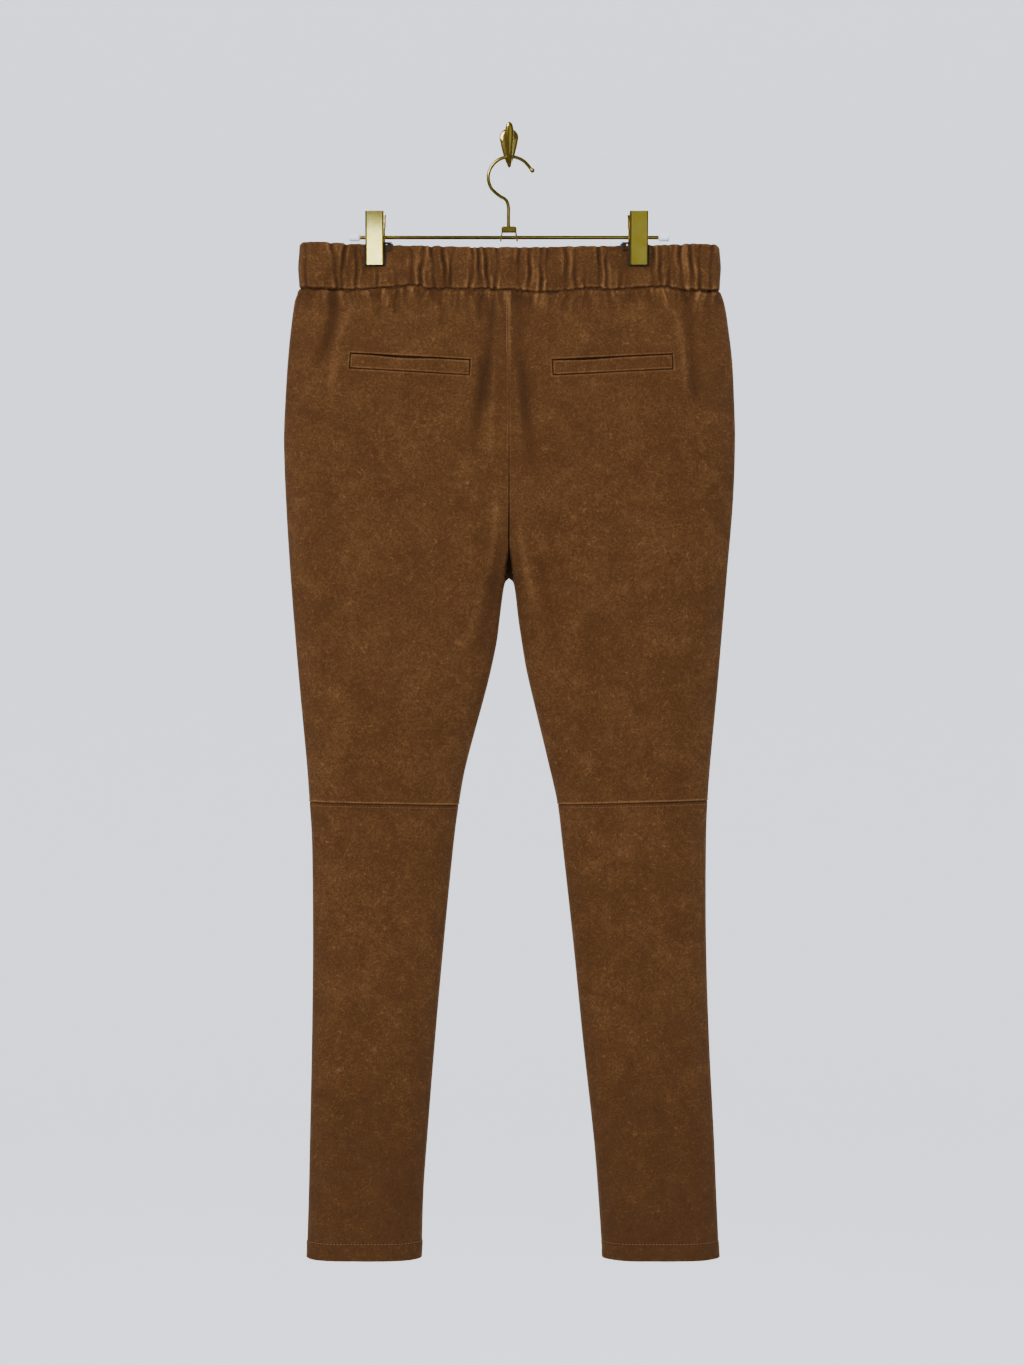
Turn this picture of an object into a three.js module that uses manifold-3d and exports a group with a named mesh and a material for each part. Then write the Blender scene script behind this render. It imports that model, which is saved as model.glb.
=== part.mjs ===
// Pull-on suede trousers, hung by the waistband from a clip hanger on a small wall hook.
// Millimetres. +Z is up, +X is to the right seen from behind the trousers, +Y goes into the wall.
// The origin lies on the wall, in the flat back of the hook's plate.
import * as THREE from "three";
import { mergeVertices } from "three/addons/utils/BufferGeometryUtils.js";
import Module from "manifold-3d";

const wasm = await Module();
wasm.setup();

// ---------------------------------------------------------------- driving sizes

const HANG_Y = -32; // middle plane of the hanger, the waist and both legs
const CLOTH = 1.6; // suede wall of the panels
const BAND_CLOTH = 3.4; // waistband: suede round an elastic
const WELT_CLOTH = 1.3;
const SEAM_GAP = 0.3; // daylight between two pieces at a seam
const HEM_HEIGHT = 17;
const HEM_PROUD = 0.7; // how far the turned-up hem stands out of the leg
const HEM_BOTTOM = -1110.5;
const FORK = -421; // where the four inner seams meet
const CROTCH_START = -314; // where the centre seams begin to curve under
const FOLD_ROUND = 3.5; // exponent of the legs' and hips' flattened ovals
const BAND_ROUND = 9; // the waistband turns its side more tightly
const PINCH_X = [-134, 129.5]; // middles of the two clips
const PINCH_HALF = 13; // half of the stretch that a clip holds shut
const PINCH_FADE = 50; // run over which the cloth opens again beside a clip
const PINCH_DEPTH = 3.9; // half of the pinched waist's thickness
const PINCH_BOTTOM = -129;
const PINCH_END = -235; // height below which the clips no longer shape the cloth

const columns = (names, rows) =>
  rows.map((row) => Object.fromEntries(names.map((name, i) => [name, row[i]])));

// Side seams and fullness, one row per height. halfDepth is middle plane to cloth face.
const SIDES = columns(["z", "left", "right", "halfDepth"], [
  [-98, -209.5, 210, 15],
  [-108, -210, 211, 15.5],
  [-122, -211, 212, 16],
  [-143, -210, 211, 16.5],
  [-154, -213, 213.5, 17.5],
  [-174, -216, 217, 20],
  [-214, -220, 222, 24],
  [-254, -222.5, 224, 26],
  [-294, -224, 225, 27],
  [-354, -222, 223, 27],
  [-421, -218, 217.5, 26.5],
  [-474, -214, 213, 26],
  [-544, -208, 207, 25],
  [-619, -201, 200, 23.5],
  [-657, -198.3, 197.3, 22.5],
  [-694, -196, 196, 22],
  [-794, -195, 196, 21.5],
  [-894, -196, 199, 22],
  [-994, -198, 204, 23],
  [-1044, -199, 206, 24],
  [-1110.5, -201, 209, 25],
]);

// Inseams, one row per height below the fork.
const INSEAMS = columns(["z", "left", "right"], [
  [-421, 0, 0],
  [-425, -3, 3.4],
  [-436, -5.5, 6],
  [-454, -8, 8.2],
  [-474, -10.5, 10.5],
  [-494, -13, 13.5],
  [-519, -18, 17.5],
  [-544, -24, 23],
  [-619, -44, 41],
  [-657, -51, 49.5],
  [-694, -56, 54],
  [-794, -66, 65],
  [-894, -75, 75],
  [-994, -83, 86],
  [-1044, -86.5, 90],
  [-1110.5, -88.5, 94.5],
]);

// Height of the waistband's top edge and of its lower seam, across the waist.
const BAND_TOP = columns(["x", "z"], [
  [-211, -98.5],
  [-134, -100.3],
  [-60, -103.6],
  [0, -104.5],
  [65, -103.6],
  [129.5, -100.5],
  [212, -99],
]);
const WAIST_SEAM = columns(["x", "z"], [
  [-211, -143],
  [-164, -145],
  [-126, -142.8],
  [-93, -141],
  [-80, -145],
  [0, -146],
  [30, -149],
  [60, -147],
  [85, -143.8],
  [98, -145.3],
  [125, -142.7],
  [150, -141.7],
  [184, -146.8],
  [212, -145],
]);

// Knee seam of each leg, at its side seam and at its inseam.
const KNEE = { left: { outer: -655.5, inner: -658.6 }, right: { outer: -654, inner: -658 } };
const KNEE_NOMINAL = -657;

// Gathers of the waistband over the seat, one row each. reach is how far below the waist seam
// it runs on into the panel, and low is 1 where it fills only the band's lower half.
const SEAT_GATHERS = columns(["top", "bottom", "depth", "width", "reach", "low"], [
  [-203, -203, 0.9, 2.6, 0, 0],
  [-177.1, -171.1, 1.6, 2.8, 14, 0],
  [-162.2, -166.6, 1.7, 2.6, 10, 0],
  [-153.2, -153.2, 1.1, 2.6, 15, 0],
  [-131.3, -131.3, 0.9, 2.4, 25, 1],
  [-115.4, -111.4, 1.1, 2.6, 22, 1],
  [-98, -99, 0.8, 3, 0, 0],
  [-83.6, -88.5, 1.7, 2.8, 6, 0],
  [-77.6, -74.6, 1.3, 2.4, 20, 0],
  [-66.7, -62.7, 1.4, 2.6, 8, 0],
  [-54.7, -58, 1.1, 2.4, 0, 0],
  [-36.8, -39.8, 1.2, 2.6, 15, 0],
  [-30.8, -27, 1.2, 2.4, 22, 0],
  [-23.9, -20.5, 1.6, 2.4, 0, 0],
  [-11.9, -14.5, 1.1, 2.4, 18, 0],
  [11, 11, 1.1, 2.6, 14, 0],
  [19.9, 18.9, 1.5, 2.4, 14, 0],
  [31.9, 31.9, 1.4, 2.6, 0, 0],
  [38.5, 38.5, 0.9, 2.4, 0, 0],
  [55.7, 55.7, 1.1, 2.8, 8, 0],
  [66.7, 66.7, 1.1, 2.6, 0, 0],
  [75.6, 75.6, 0.9, 2.4, 8, 1],
  [88.6, 90.5, 1.5, 2.6, 0, 0],
  [98.5, 98.5, 1.1, 2.4, 6, 0],
  [110.5, 110.5, 0.9, 2.6, 14, 1],
  [143.8, 143.8, 1.1, 2.6, 0, 0],
  [151.3, 151.3, 1.2, 2.4, 10, 0],
  [158.4, 158.4, 1.1, 2.4, 0, 0],
  [170.2, 173.5, 1.5, 2.6, 12, 0],
  [179.1, 182.1, 1.5, 2.6, 12, 0],
  [189.1, 189.5, 1.1, 2.4, 0, 0],
  [203, 201, 1.2, 2.6, 12, 0],
]);

// Folds of the seat and hips, one row each: a line through three points, how far it sinks
// (a ridge is below zero) and how wide it is. atSeam is 1 where it starts in the waist seam.
const FOLD_COLUMNS = ["topX", "topZ", "midX", "midZ", "endX", "endZ", "depth", "width", "atSeam"];
const SEAT_FOLDS = columns(FOLD_COLUMNS, [
  [-174.5, -146, -178.5, -190, -196, -232, 2.6, 5, 1],
  [-147.5, -148, -171, -205, -176.5, -286, -1.1, 4, 0],
  [-15.5, -146, -21.5, -240, -37.5, -300, 2.6, 5, 1],
  [10, -147, 14, -240, 27, -356, 1.8, 6, 1],
  [157.5, -157, 173, -205, 174, -282, -1.1, 4, 0],
  [176.4, -147, 181.5, -212, 189.3, -298, 1.8, 5, 1],
]);

// The front hangs much as the seat does, turned round and a little fuller in its spacing.
const FRONT_SHIFT = 2.5;
const FRONT_DEPTH = 0.85;
const mirroredX = (x) => -x * 0.985 + FRONT_SHIFT;
const clearOfClips = (x) => PINCH_X.every((clip) => Math.abs(x - clip) > PINCH_HALF + 1);
const FRONT_GATHERS = SEAT_GATHERS.map((row) => ({
  ...row,
  top: mirroredX(row.top),
  bottom: mirroredX(row.bottom),
  depth: row.depth * FRONT_DEPTH,
}))
  .filter((row) => row.low === 1 || clearOfClips(row.top))
  .sort((a, b) => a.bottom - b.bottom);
const FRONT_FOLDS = columns(FOLD_COLUMNS, [
  [-172, -146, -182, -200, -196, -262, 2.2, 6, 1],
  [-92, -146, -84, -190, -70, -236, 1.6, 5, 1],
  [-14, -146, -18, -230, -34, -330, 2.2, 6, 1],
  [18, -146, 20, -220, 32, -318, 2, 6, 1],
  [88, -146, 80, -196, 72, -250, 1.6, 5, 1],
  [170, -146, 182, -204, 192, -280, 2, 6, 1],
]);

// ---------------------------------------------------------------- finishes

const finish = (color, roughness, metalness) =>
  new THREE.MeshStandardMaterial({ color, roughness, metalness });
const suede = () => finish(0x623f24, 0.95, 0);
const brass = () => finish(0xb79a55, 0.3, 1);
const rubber = () => finish(0x1d1c1b, 0.8, 0);
const plastic = () => finish(0xf0efec, 0.4, 0);

const trousers = new THREE.Group();
function add(name, geometry, material) {
  const mesh = new THREE.Mesh(geometry, material);
  mesh.name = name;
  trousers.add(mesh);
  return mesh;
}

// ---------------------------------------------------------------- curves through the tables

// Cubic through the rows of a table, with each row's slope taken from its two neighbours.
function along(rows, key, column, at) {
  const rising = rows[0][key] < rows[rows.length - 1][key];
  const before = (row) => (rising ? row[key] <= at : row[key] >= at);
  const first = Math.min(Math.max(rows.filter(before).length - 1, 0), rows.length - 2);
  const slope = (i) => {
    const a = rows[Math.max(i - 1, 0)];
    const b = rows[Math.min(i + 1, rows.length - 1)];
    return (b[column] - a[column]) / (b[key] - a[key]);
  };
  const [start, end] = [rows[first], rows[first + 1]];
  const span = end[key] - start[key];
  const t = Math.min(Math.max((at - start[key]) / span, 0), 1);
  const t2 = t * t;
  const t3 = t2 * t;
  return (
    start[column] * (2 * t3 - 3 * t2 + 1) +
    end[column] * (3 * t2 - 2 * t3) +
    slope(first) * span * (t3 - 2 * t2 + t) +
    slope(first + 1) * span * (t3 - t2)
  );
}

function smooth(value) {
  const t = Math.min(Math.max(value, 0), 1);
  return t * t * (3 - 2 * t);
}

const mix = (from, to, share) => from + (to - from) * share;

// ---------------------------------------------------------------- the garment's form

// Share of the clips' pinch at a place: 1 where the waist is held shut, 0 where it stands open.
function pinch(x, z) {
  const away = Math.min(...PINCH_X.map((clip) => Math.abs(x - clip)));
  const across = 1 - smooth((away - PINCH_HALF) / PINCH_FADE);
  const down = smooth((z - PINCH_END) / (PINCH_BOTTOM - PINCH_END));
  return across * down;
}

// Distance of the cloth's face from the middle plane, before its side edges round away.
function halfDepth(x, z) {
  return mix(along(SIDES, "z", "halfDepth", z), PINCH_DEPTH, pinch(x, z));
}

// What is left of the fullness in the centre seam: all of it on the seat, none at the fork.
function seamFullness(z) {
  if (z <= FORK) return 0;
  const down = Math.max((CROTCH_START - z) / (CROTCH_START - FORK), 0);
  return Math.sqrt(1 - down * down);
}

// Flattened oval over a share from side seam (0) to centre seam or inseam (1).
function oval(share, fullness, exponent) {
  const round = Math.sqrt(Math.max(1 - Math.abs(2 * share - 1) ** exponent, 0));
  return share < 0.5 ? round : fullness + (1 - fullness) * round;
}

// A side is one leg with its half of the hips: sign -1 on the left, 1 on the right.
const LEGS = [
  { name: "left", sign: -1 },
  { name: "right", sign: 1 },
];
const outerEdge = (leg, z) => along(SIDES, "z", leg.name, z);
const innerEdge = (leg, z) => (z >= FORK ? 0 : along(INSEAMS, "z", leg.name, z));

const crosses = (fold, z) => z >= fold.endZ && (fold.atSeam === 1 || z <= fold.topZ);

// Where a fold crosses a height: a parabola through its three points.
function foldLine({ topX, topZ, midX, midZ, endX, endZ }, z) {
  return (
    (topX * (z - midZ) * (z - endZ)) / ((topZ - midZ) * (topZ - endZ)) +
    (midX * (z - topZ) * (z - endZ)) / ((midZ - topZ) * (midZ - endZ)) +
    (endX * (z - topZ) * (z - midZ)) / ((endZ - topZ) * (endZ - midZ))
  );
}

// Profile of a trough: 1 on its line, next to nothing at twice its width.
const bell = (away, width) => Math.exp(-((away / width) ** 2));

// Sink of one fold at a place: a soft trough beside its line, faded at its ends.
const END_FADE = 0.4;
const START_FADE = 0.2;
function foldSink(fold, x, z) {
  if (!crosses(fold, z)) return 0;
  const length = fold.topZ - fold.endZ;
  const end = smooth((z - fold.endZ) / (length * END_FADE));
  const start = fold.atSeam ? 1 : smooth((fold.topZ - z) / (length * START_FADE));
  return fold.depth * end * start * bell(x - foldLine(fold, z), fold.width);
}

// One face of the garment. out is the direction of its face along y: -1 behind, 1 in front.
const FACES = [
  { name: "back", out: -1, gathers: SEAT_GATHERS, folds: SEAT_FOLDS },
  { name: "front", out: 1, gathers: FRONT_GATHERS, folds: FRONT_FOLDS },
];
const [BACK] = FACES;

const gatherLine = (gather, z, top, seam) =>
  mix(gather.bottom, gather.top, Math.min(Math.max((z - seam) / (top - seam), 0), 1));

const LOW_FILL = { none: 0.65, fade: 0.4 }; // share of the band's height that a low gather fills
function gatherSink(gather, x, z, top, seam) {
  const rise = (z - seam) / (top - seam);
  const fill = gather.low ? smooth((LOW_FILL.none - rise) / LOW_FILL.fade) : 1;
  return gather.depth * fill * bell(x - gatherLine(gather, z, top, seam), gather.width);
}

// Sink of the panel's face: what runs on from the gathers, and the folds of the seat.
function panelSink(face, x, z) {
  const seam = along(WAIST_SEAM, "x", "z", x);
  let sink = 0;
  for (const gather of face.gathers) {
    if (gather.reach === 0 || seam - z > gather.reach) continue;
    const fade = smooth(1 - (seam - z) / gather.reach);
    sink += gather.depth * fade * bell(x - gather.bottom, gather.width);
  }
  for (const fold of face.folds) sink += foldSink(fold, x, z);
  return sink;
}

// Smooth point of the cloth's face, without gathers or folds.
function formPoint(face, leg, share, z, exponent) {
  const outer = outerEdge(leg, z);
  const x = mix(outer, innerEdge(leg, z), share);
  const depth = halfDepth(x, z) * oval(share, seamFullness(z), exponent);
  return new THREE.Vector3(x, HANG_Y + face.out * depth, z);
}

// Direction into the wall's thickness, square to the face; along a seam it stays in the seam.
const STEP = 0.5; // run over which the face's slope is measured
function inward(face, leg, share, z, exponent) {
  const toMiddle = -face.out;
  if (share === 0) return new THREE.Vector3(-leg.sign, 0, 0);
  if (share === 1 && z < FORK) return new THREE.Vector3(leg.sign, 0, 0);
  if (share === 1 && z === FORK) return new THREE.Vector3(leg.sign, 0, 1);
  const width = Math.abs(outerEdge(leg, z) - innerEdge(leg, z));
  const few = Math.min(STEP / width, share, 1 - share || 1) / 2;
  const low = Math.max(share - few, 0);
  const high = Math.min(share + few, 1);
  const across = formPoint(face, leg, high, z, exponent).sub(
    formPoint(face, leg, low, z, exponent),
  );
  const up = z > FORK ? Math.min(STEP, (z - FORK) / 2) : STEP;
  const above = formPoint(face, leg, share, z + up, exponent).sub(
    formPoint(face, leg, share, z - up, exponent),
  );
  const normal = new THREE.Vector3().crossVectors(across, above).normalize();
  if (share === 1) {
    normal.x = 0;
    normal.normalize();
  }
  return normal.y * toMiddle < 0 ? normal.negate() : normal;
}

// ---------------------------------------------------------------- walls

// Triangles between two rows of points whose shares of the row run from 0 to 1.
function zip(rowA, rowB, triangles) {
  let i = 0;
  let j = 0;
  while (i < rowA.length - 1 || j < rowB.length - 1) {
    const nextA = i < rowA.length - 1 ? rowA[i + 1].share : Infinity;
    const nextB = j < rowB.length - 1 ? rowB[j + 1].share : Infinity;
    if (nextA <= nextB) {
      triangles.push([rowA[i].id, rowB[j].id, rowA[i + 1].id]);
      i += 1;
    } else {
      triangles.push([rowA[i].id, rowB[j].id, rowB[j + 1].id]);
      j += 1;
    }
  }
}

// Closed wall from rows of { share, outer, inner }: a face, a back and the four edges.
function wall(rows) {
  const points = [];
  const store = (point) => points.push(point) - 1;
  const faceRows = rows.map((row) => row.map((p) => ({ share: p.share, id: store(p.outer) })));
  const backRows = rows.map((row) => row.map((p) => ({ share: p.share, id: store(p.inner) })));
  const triangles = [];
  const backs = [];
  for (let r = 0; r < rows.length - 1; r += 1) {
    zip(faceRows[r], faceRows[r + 1], triangles);
    zip(backRows[r], backRows[r + 1], backs);
  }
  for (const [a, b, c] of backs) triangles.push([a, c, b]);
  const quad = (a, b, c, d) => triangles.push([a, b, c], [a, c, d]);
  const last = rows.length - 1;
  for (let k = 0; k < rows[0].length - 1; k += 1)
    quad(faceRows[0][k].id, faceRows[0][k + 1].id, backRows[0][k + 1].id, backRows[0][k].id);
  for (let k = 0; k < rows[last].length - 1; k += 1)
    quad(
      faceRows[last][k].id,
      backRows[last][k].id,
      backRows[last][k + 1].id,
      faceRows[last][k + 1].id,
    );
  for (let r = 0; r < last; r += 1) {
    const [f0, f1] = [faceRows[r], faceRows[r + 1]];
    const [b0, b1] = [backRows[r], backRows[r + 1]];
    quad(f0[0].id, b0[0].id, b1[0].id, f1[0].id);
    const [p, q] = [f0.length - 1, f1.length - 1];
    quad(f0[p].id, f1[q].id, b1[q].id, b0[p].id);
  }
  return faced(points, triangles);
}

// Geometry of a closed set of triangles, turned so that its faces point out.
function faced(points, triangles) {
  const corner = (i) => points[i];
  const volume = triangles.reduce(
    (sum, [a, b, c]) => sum + corner(a).dot(new THREE.Vector3().crossVectors(corner(b), corner(c))),
    0,
  );
  const turned = volume < 0 ? triangles.map(([a, b, c]) => [a, c, b]) : triangles;
  const geometry = new THREE.BufferGeometry();
  geometry.setAttribute(
    "position",
    new THREE.Float32BufferAttribute(points.flatMap((p) => [p.x, p.y, p.z]), 3),
  );
  geometry.setIndex(turned.flat());
  return geometry;
}

// Shares of a row: the plain ones, with three at each fold or gather that crosses it and some
// at the edges of each clip's pinch.
const PLAIN_SHARES = [0, 0.006, 0.03, 0.08, 0.17, 0.31, 0.5, 0.69, 0.83, 0.92, 0.97, 0.994, 1];
const PINCH_PLACES = PINCH_X.flatMap((clip) =>
  [0, 5, 18, 34, PINCH_FADE].flatMap((away) => [-1, 1].map((way) => clip + way * (PINCH_HALF + away))),
);
const PINCH_COLUMNS_END = -190; // rows below this have no columns of the pinch
const CLOSEST = 1.3; // least distance between two columns of a row
const CLOSEST_AT_SEAM = 0.3; // and to the middle seam
const FLANK = 1.2; // a trough's two side columns lie this many widths from its line
const EDGE_SHARE = 0.05; // columns that shape the rounded side stay, however close they are
function shares(leg, z, lines) {
  const outer = outerEdge(leg, z);
  const width = innerEdge(leg, z) - outer;
  const places = lines.flatMap(({ x, width: half }) => [x - half * FLANK, x, x + half * FLANK]);
  const wanted = [...places, ...(z > PINCH_COLUMNS_END ? PINCH_PLACES : [])]
    .map((x) => (x - outer) / width)
    .filter((share) => share > 0.01 && share < 0.996); // inside the panel's two edges
  const all = [...PLAIN_SHARES.slice(1, -1), ...wanted].sort((a, b) => a - b);
  const kept = [0];
  for (const share of all) {
    const clear = (share - kept[kept.length - 1]) * Math.abs(width) > CLOSEST;
    if (clear || share < EDGE_SHARE) kept.push(share);
  }
  while ((1 - kept[kept.length - 1]) * Math.abs(width) < CLOSEST_AT_SEAM) kept.pop();
  return [...kept.filter((share, i) => i === 0 || share > kept[i - 1]), 1];
}

// Keeps a point half a seam's gap away from the middle plane, and from the centre seam.
function offSeams(point, face, leg, z) {
  const half = SEAM_GAP / 2;
  const depth = (point.y - HANG_Y) * face.out;
  if (depth < half) point.y = HANG_Y + face.out * half;
  if (z >= FORK && point.x * leg.sign < half) point.x = leg.sign * half;
  return point;
}

// ---------------------------------------------------------------- waistband

// Gathers and folds where they cross the waist seam: band and panel share these columns there.
const seamLines = (face) => [
  ...face.gathers.map((gather) => ({ x: gather.bottom, width: gather.width })),
  ...face.folds.filter((fold) => fold.atSeam).map((fold) => ({ x: fold.topX, width: fold.width })),
];

const BAND_RISES = [0, 0.3, 0.66, 1]; // rows of the band, from its seam to its top edge
const BAND_LEVELS = { seam: -144, top: -101 };
const CORNER_DROP = 2.2; // the top edge rounds down where it turns to the front
const CORNER_SHARE = 0.02;
const SIDE_FADE = 0.04; // share of a panel's width over which folds fade to its side seam
const MIDDLE_FADE = 0.01; // and to its middle seam
const DEEPEST_GATHER = 1.9;

function bandRows(face, leg) {
  return BAND_RISES.map((rise) => {
    const nominal = mix(BAND_LEVELS.seam, BAND_LEVELS.top, rise);
    const gathers = face.gathers
      .filter((gather) => gather.low === 0 || rise < LOW_FILL.none)
      .map((gather) => ({ x: mix(gather.bottom, gather.top, rise), width: gather.width }));
    const lines = rise === 0 ? seamLines(face) : gathers;
    return shares(leg, nominal, lines).map((share) => {
      const x = mix(outerEdge(leg, nominal), 0, share);
      const seam = along(WAIST_SEAM, "x", "z", x) + SEAM_GAP / 2;
      const corner = CORNER_DROP * Math.max(1 - share / CORNER_SHARE, 0) ** 2;
      const top = along(BAND_TOP, "x", "z", x) - corner;
      const z = mix(seam, top, rise);
      const point = formPoint(face, leg, share, z, BAND_ROUND);
      const into = inward(face, leg, share, z, BAND_ROUND).setZ(0).normalize();
      const inner = offSeams(point.clone().addScaledVector(into, BAND_CLOTH), face, leg, z);
      const sink = face.gathers.reduce((sum, g) => sum + gatherSink(g, x, z, top, seam), 0);
      const outer = point.clone();
      outer.y -= face.out * Math.min(sink, DEEPEST_GATHER) * smooth(share / SIDE_FADE);
      return { share, outer: offSeams(outer, face, leg, z), inner };
    });
  });
}

for (const face of FACES)
  for (const leg of LEGS) add(`waistband_${face.name}_${leg.name}`, wall(bandRows(face, leg)), suede());

// ---------------------------------------------------------------- panels

const WAIST_NOMINAL = BAND_LEVELS.seam;
const UPPER_HEIGHTS = [
  WAIST_NOMINAL, -153, -166, -185, -208, -234, -264, -298, -330, -360, -385, -402, -413,
  FORK, -425, -436, -454, -490, -540, -600, KNEE_NOMINAL,
];
const HEM_TOP = HEM_BOTTOM + HEM_HEIGHT;
const LOWER_HEIGHTS = [
  KNEE_NOMINAL, -694, -760, -830, -900, -970, -1040, HEM_TOP + 1, HEM_TOP, HEM_BOTTOM,
];
const SEAM_RUN = 40; // run over which a slanted or wavy seam shifts the rows beside it
const FOLDS_END = CROTCH_START - 50; // rows below this have no columns of the folds

// Real height of a point whose row has a nominal height, between the waist and knee seams.
function panelHeight(leg, x, share, nominal, isUpper) {
  const waist = along(WAIST_SEAM, "x", "z", x) - SEAM_GAP / 2 - WAIST_NOMINAL;
  const knee = mix(KNEE[leg.name].outer, KNEE[leg.name].inner, share) - KNEE_NOMINAL;
  const gap = isUpper ? SEAM_GAP / 2 : -SEAM_GAP / 2;
  const nearWaist = Math.max(1 - (WAIST_NOMINAL - nominal) / SEAM_RUN, 0);
  const nearKnee = Math.max(1 - Math.abs(nominal - KNEE_NOMINAL) / SEAM_RUN, 0);
  return nominal + waist * nearWaist + (knee + gap) * nearKnee;
}

function panelRows(face, leg, heights) {
  const isUpper = heights[0] === WAIST_NOMINAL;
  return heights.map((nominal) => {
    const lines = nominal === WAIST_NOMINAL ? seamLines(face) : [];
    if (isUpper && nominal < WAIST_NOMINAL && nominal > FOLDS_END) {
      for (const gather of face.gathers)
        if (gather.reach > WAIST_NOMINAL - nominal)
          lines.push({ x: gather.bottom, width: gather.width });
      for (const fold of face.folds)
        if (crosses(fold, nominal))
          lines.push({ x: foldLine(fold, nominal), width: fold.width });
    }
    return shares(leg, nominal, lines).map((share) => {
      const x = mix(outerEdge(leg, nominal), innerEdge(leg, nominal), share);
      const z = panelHeight(leg, x, share, nominal, isUpper);
      const point = formPoint(face, leg, share, z, FOLD_ROUND);
      const into = inward(face, leg, share, z, FOLD_ROUND);
      if (nominal === heights[0] || nominal === heights[heights.length - 1])
        into.setZ(0).normalize();
      const inner = point.clone().addScaledVector(into, CLOTH);
      const outer = point.clone();
      if (nominal <= HEM_TOP) outer.addScaledVector(into, -HEM_PROUD);
      if (share === 0 || share === 1) outer.y = point.y;
      const edges = smooth(share / SIDE_FADE) * smooth((1 - share) / MIDDLE_FADE);
      const sink = isUpper ? panelSink(face, x, z) * edges : 0;
      outer.y -= face.out * sink;
      inner.y -= face.out * sink;
      return {
        share,
        outer: offSeams(outer, face, leg, z),
        inner: offSeams(inner, face, leg, z),
      };
    });
  });
}

// ---------------------------------------------------------------- back pockets

// A single welt on each side of the seat fills a window in the panel, flush with it, but for the
// mouth left open along its folded top edge. tilt is its fall towards the centre seam.
const WELT = { length: 118.5, height: 14.4, proud: 0.35, round: 0.5, mouth: 2 };
const POCKETS = {
  left: { x: -97.9, z: -213.6, tilt: -3.3 },
  right: { x: 102.4, z: -214.1, tilt: 3 },
};

// Point of the seat's face at a place given by x and z.
function seatPoint(leg, x, z, lift) {
  const share = (x - outerEdge(leg, z)) / (innerEdge(leg, z) - outerEdge(leg, z));
  const y = formPoint(BACK, leg, share, z, FOLD_ROUND).y + panelSink(BACK, x, z) - lift;
  return new THREE.Vector3(x, y, z);
}

const WELT_COLUMNS = 16;
const WELT_EDGE = 1.2; // width of the band along which a welt's edge is rounded
const WELT_ROWS = [
  { drop: 0, thin: 1 },
  { drop: WELT_EDGE, thin: 0 },
  { drop: WELT.height / 2, thin: 0 },
  { drop: WELT.height - WELT_EDGE, thin: 0 },
  { drop: WELT.height, thin: 1 },
];
function weltRows(leg) {
  const pocket = POCKETS[leg.name];
  const tilt = THREE.MathUtils.degToRad(pocket.tilt);
  return WELT_ROWS.map(({ drop, thin }) => {
    const row = [];
    for (let i = 0; i <= WELT_COLUMNS; i += 1) {
      const share = i / WELT_COLUMNS;
      const run = (share - 0.5) * WELT.length;
      const x = pocket.x + run * Math.cos(tilt) + drop * Math.sin(tilt);
      const z = pocket.z + run * Math.sin(tilt) - drop * Math.cos(tilt);
      const edge = i === 0 || i === WELT_COLUMNS ? 1 : 0;
      const thickness = WELT_CLOTH - WELT.round * Math.max(thin, edge);
      row.push({
        share,
        outer: seatPoint(leg, x, z, WELT.proud - WELT_CLOTH + thickness),
        inner: seatPoint(leg, x, z, WELT.proud - WELT_CLOTH),
      });
    }
    return row;
  });
}

function toSolid(geometry) {
  const bare = geometry.clone();
  bare.deleteAttribute("normal");
  bare.deleteAttribute("uv");
  const merged = mergeVertices(bare, 1e-4);
  return new wasm.Manifold(
    new wasm.Mesh({
      numProp: 3,
      vertProperties: merged.attributes.position.array,
      triVerts: new Uint32Array(merged.index.array),
    }),
  );
}

function toGeometry(solid) {
  const mesh = solid.getMesh();
  const geometry = new THREE.BufferGeometry();
  geometry.setAttribute("position", new THREE.BufferAttribute(mesh.vertProperties, 3));
  geometry.setIndex(new THREE.BufferAttribute(mesh.triVerts, 1));
  return geometry;
}

// The window for a welt and its mouth, cut through the seat.
const CUTTER_DEPTH = 30;
function withWindow(geometry, leg) {
  const pocket = POCKETS[leg.name];
  const tilt = THREE.MathUtils.degToRad(pocket.tilt);
  const height = WELT.height + SEAM_GAP + WELT.mouth;
  const cutter = new THREE.BoxGeometry(WELT.length + 2 * SEAM_GAP, CUTTER_DEPTH, height);
  cutter.translate(0, 0, WELT.mouth - height / 2);
  cutter.rotateY(-tilt);
  const middle = seatPoint(leg, pocket.x, pocket.z, 0);
  cutter.translate(middle.x, middle.y, middle.z);
  return toGeometry(toSolid(geometry).subtract(toSolid(cutter)));
}

for (const face of FACES)
  for (const leg of LEGS) {
    const upper = wall(panelRows(face, leg, UPPER_HEIGHTS));
    const lower = wall(panelRows(face, leg, LOWER_HEIGHTS));
    const name = `${face.name}_upper_${leg.name}`;
    add(name, face === BACK ? withWindow(upper, leg) : upper, suede());
    add(`${face.name}_lower_${leg.name}`, lower, suede());
  }
for (const leg of LEGS) add(`pocket_welt_${leg.name}`, wall(weltRows(leg)), suede());

// ---------------------------------------------------------------- hanger

const BAR = { radius: 1.9, z: -91, left: -154, right: 158 };
const CAPS = { radius: 3.8, length: 11, bore: 2.3, wallEnd: 2.5, sides: 16 };
const WIRE_RADIUS = 1.75;
const CLEAR = 0.35; // air round a pin in its hole

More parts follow.
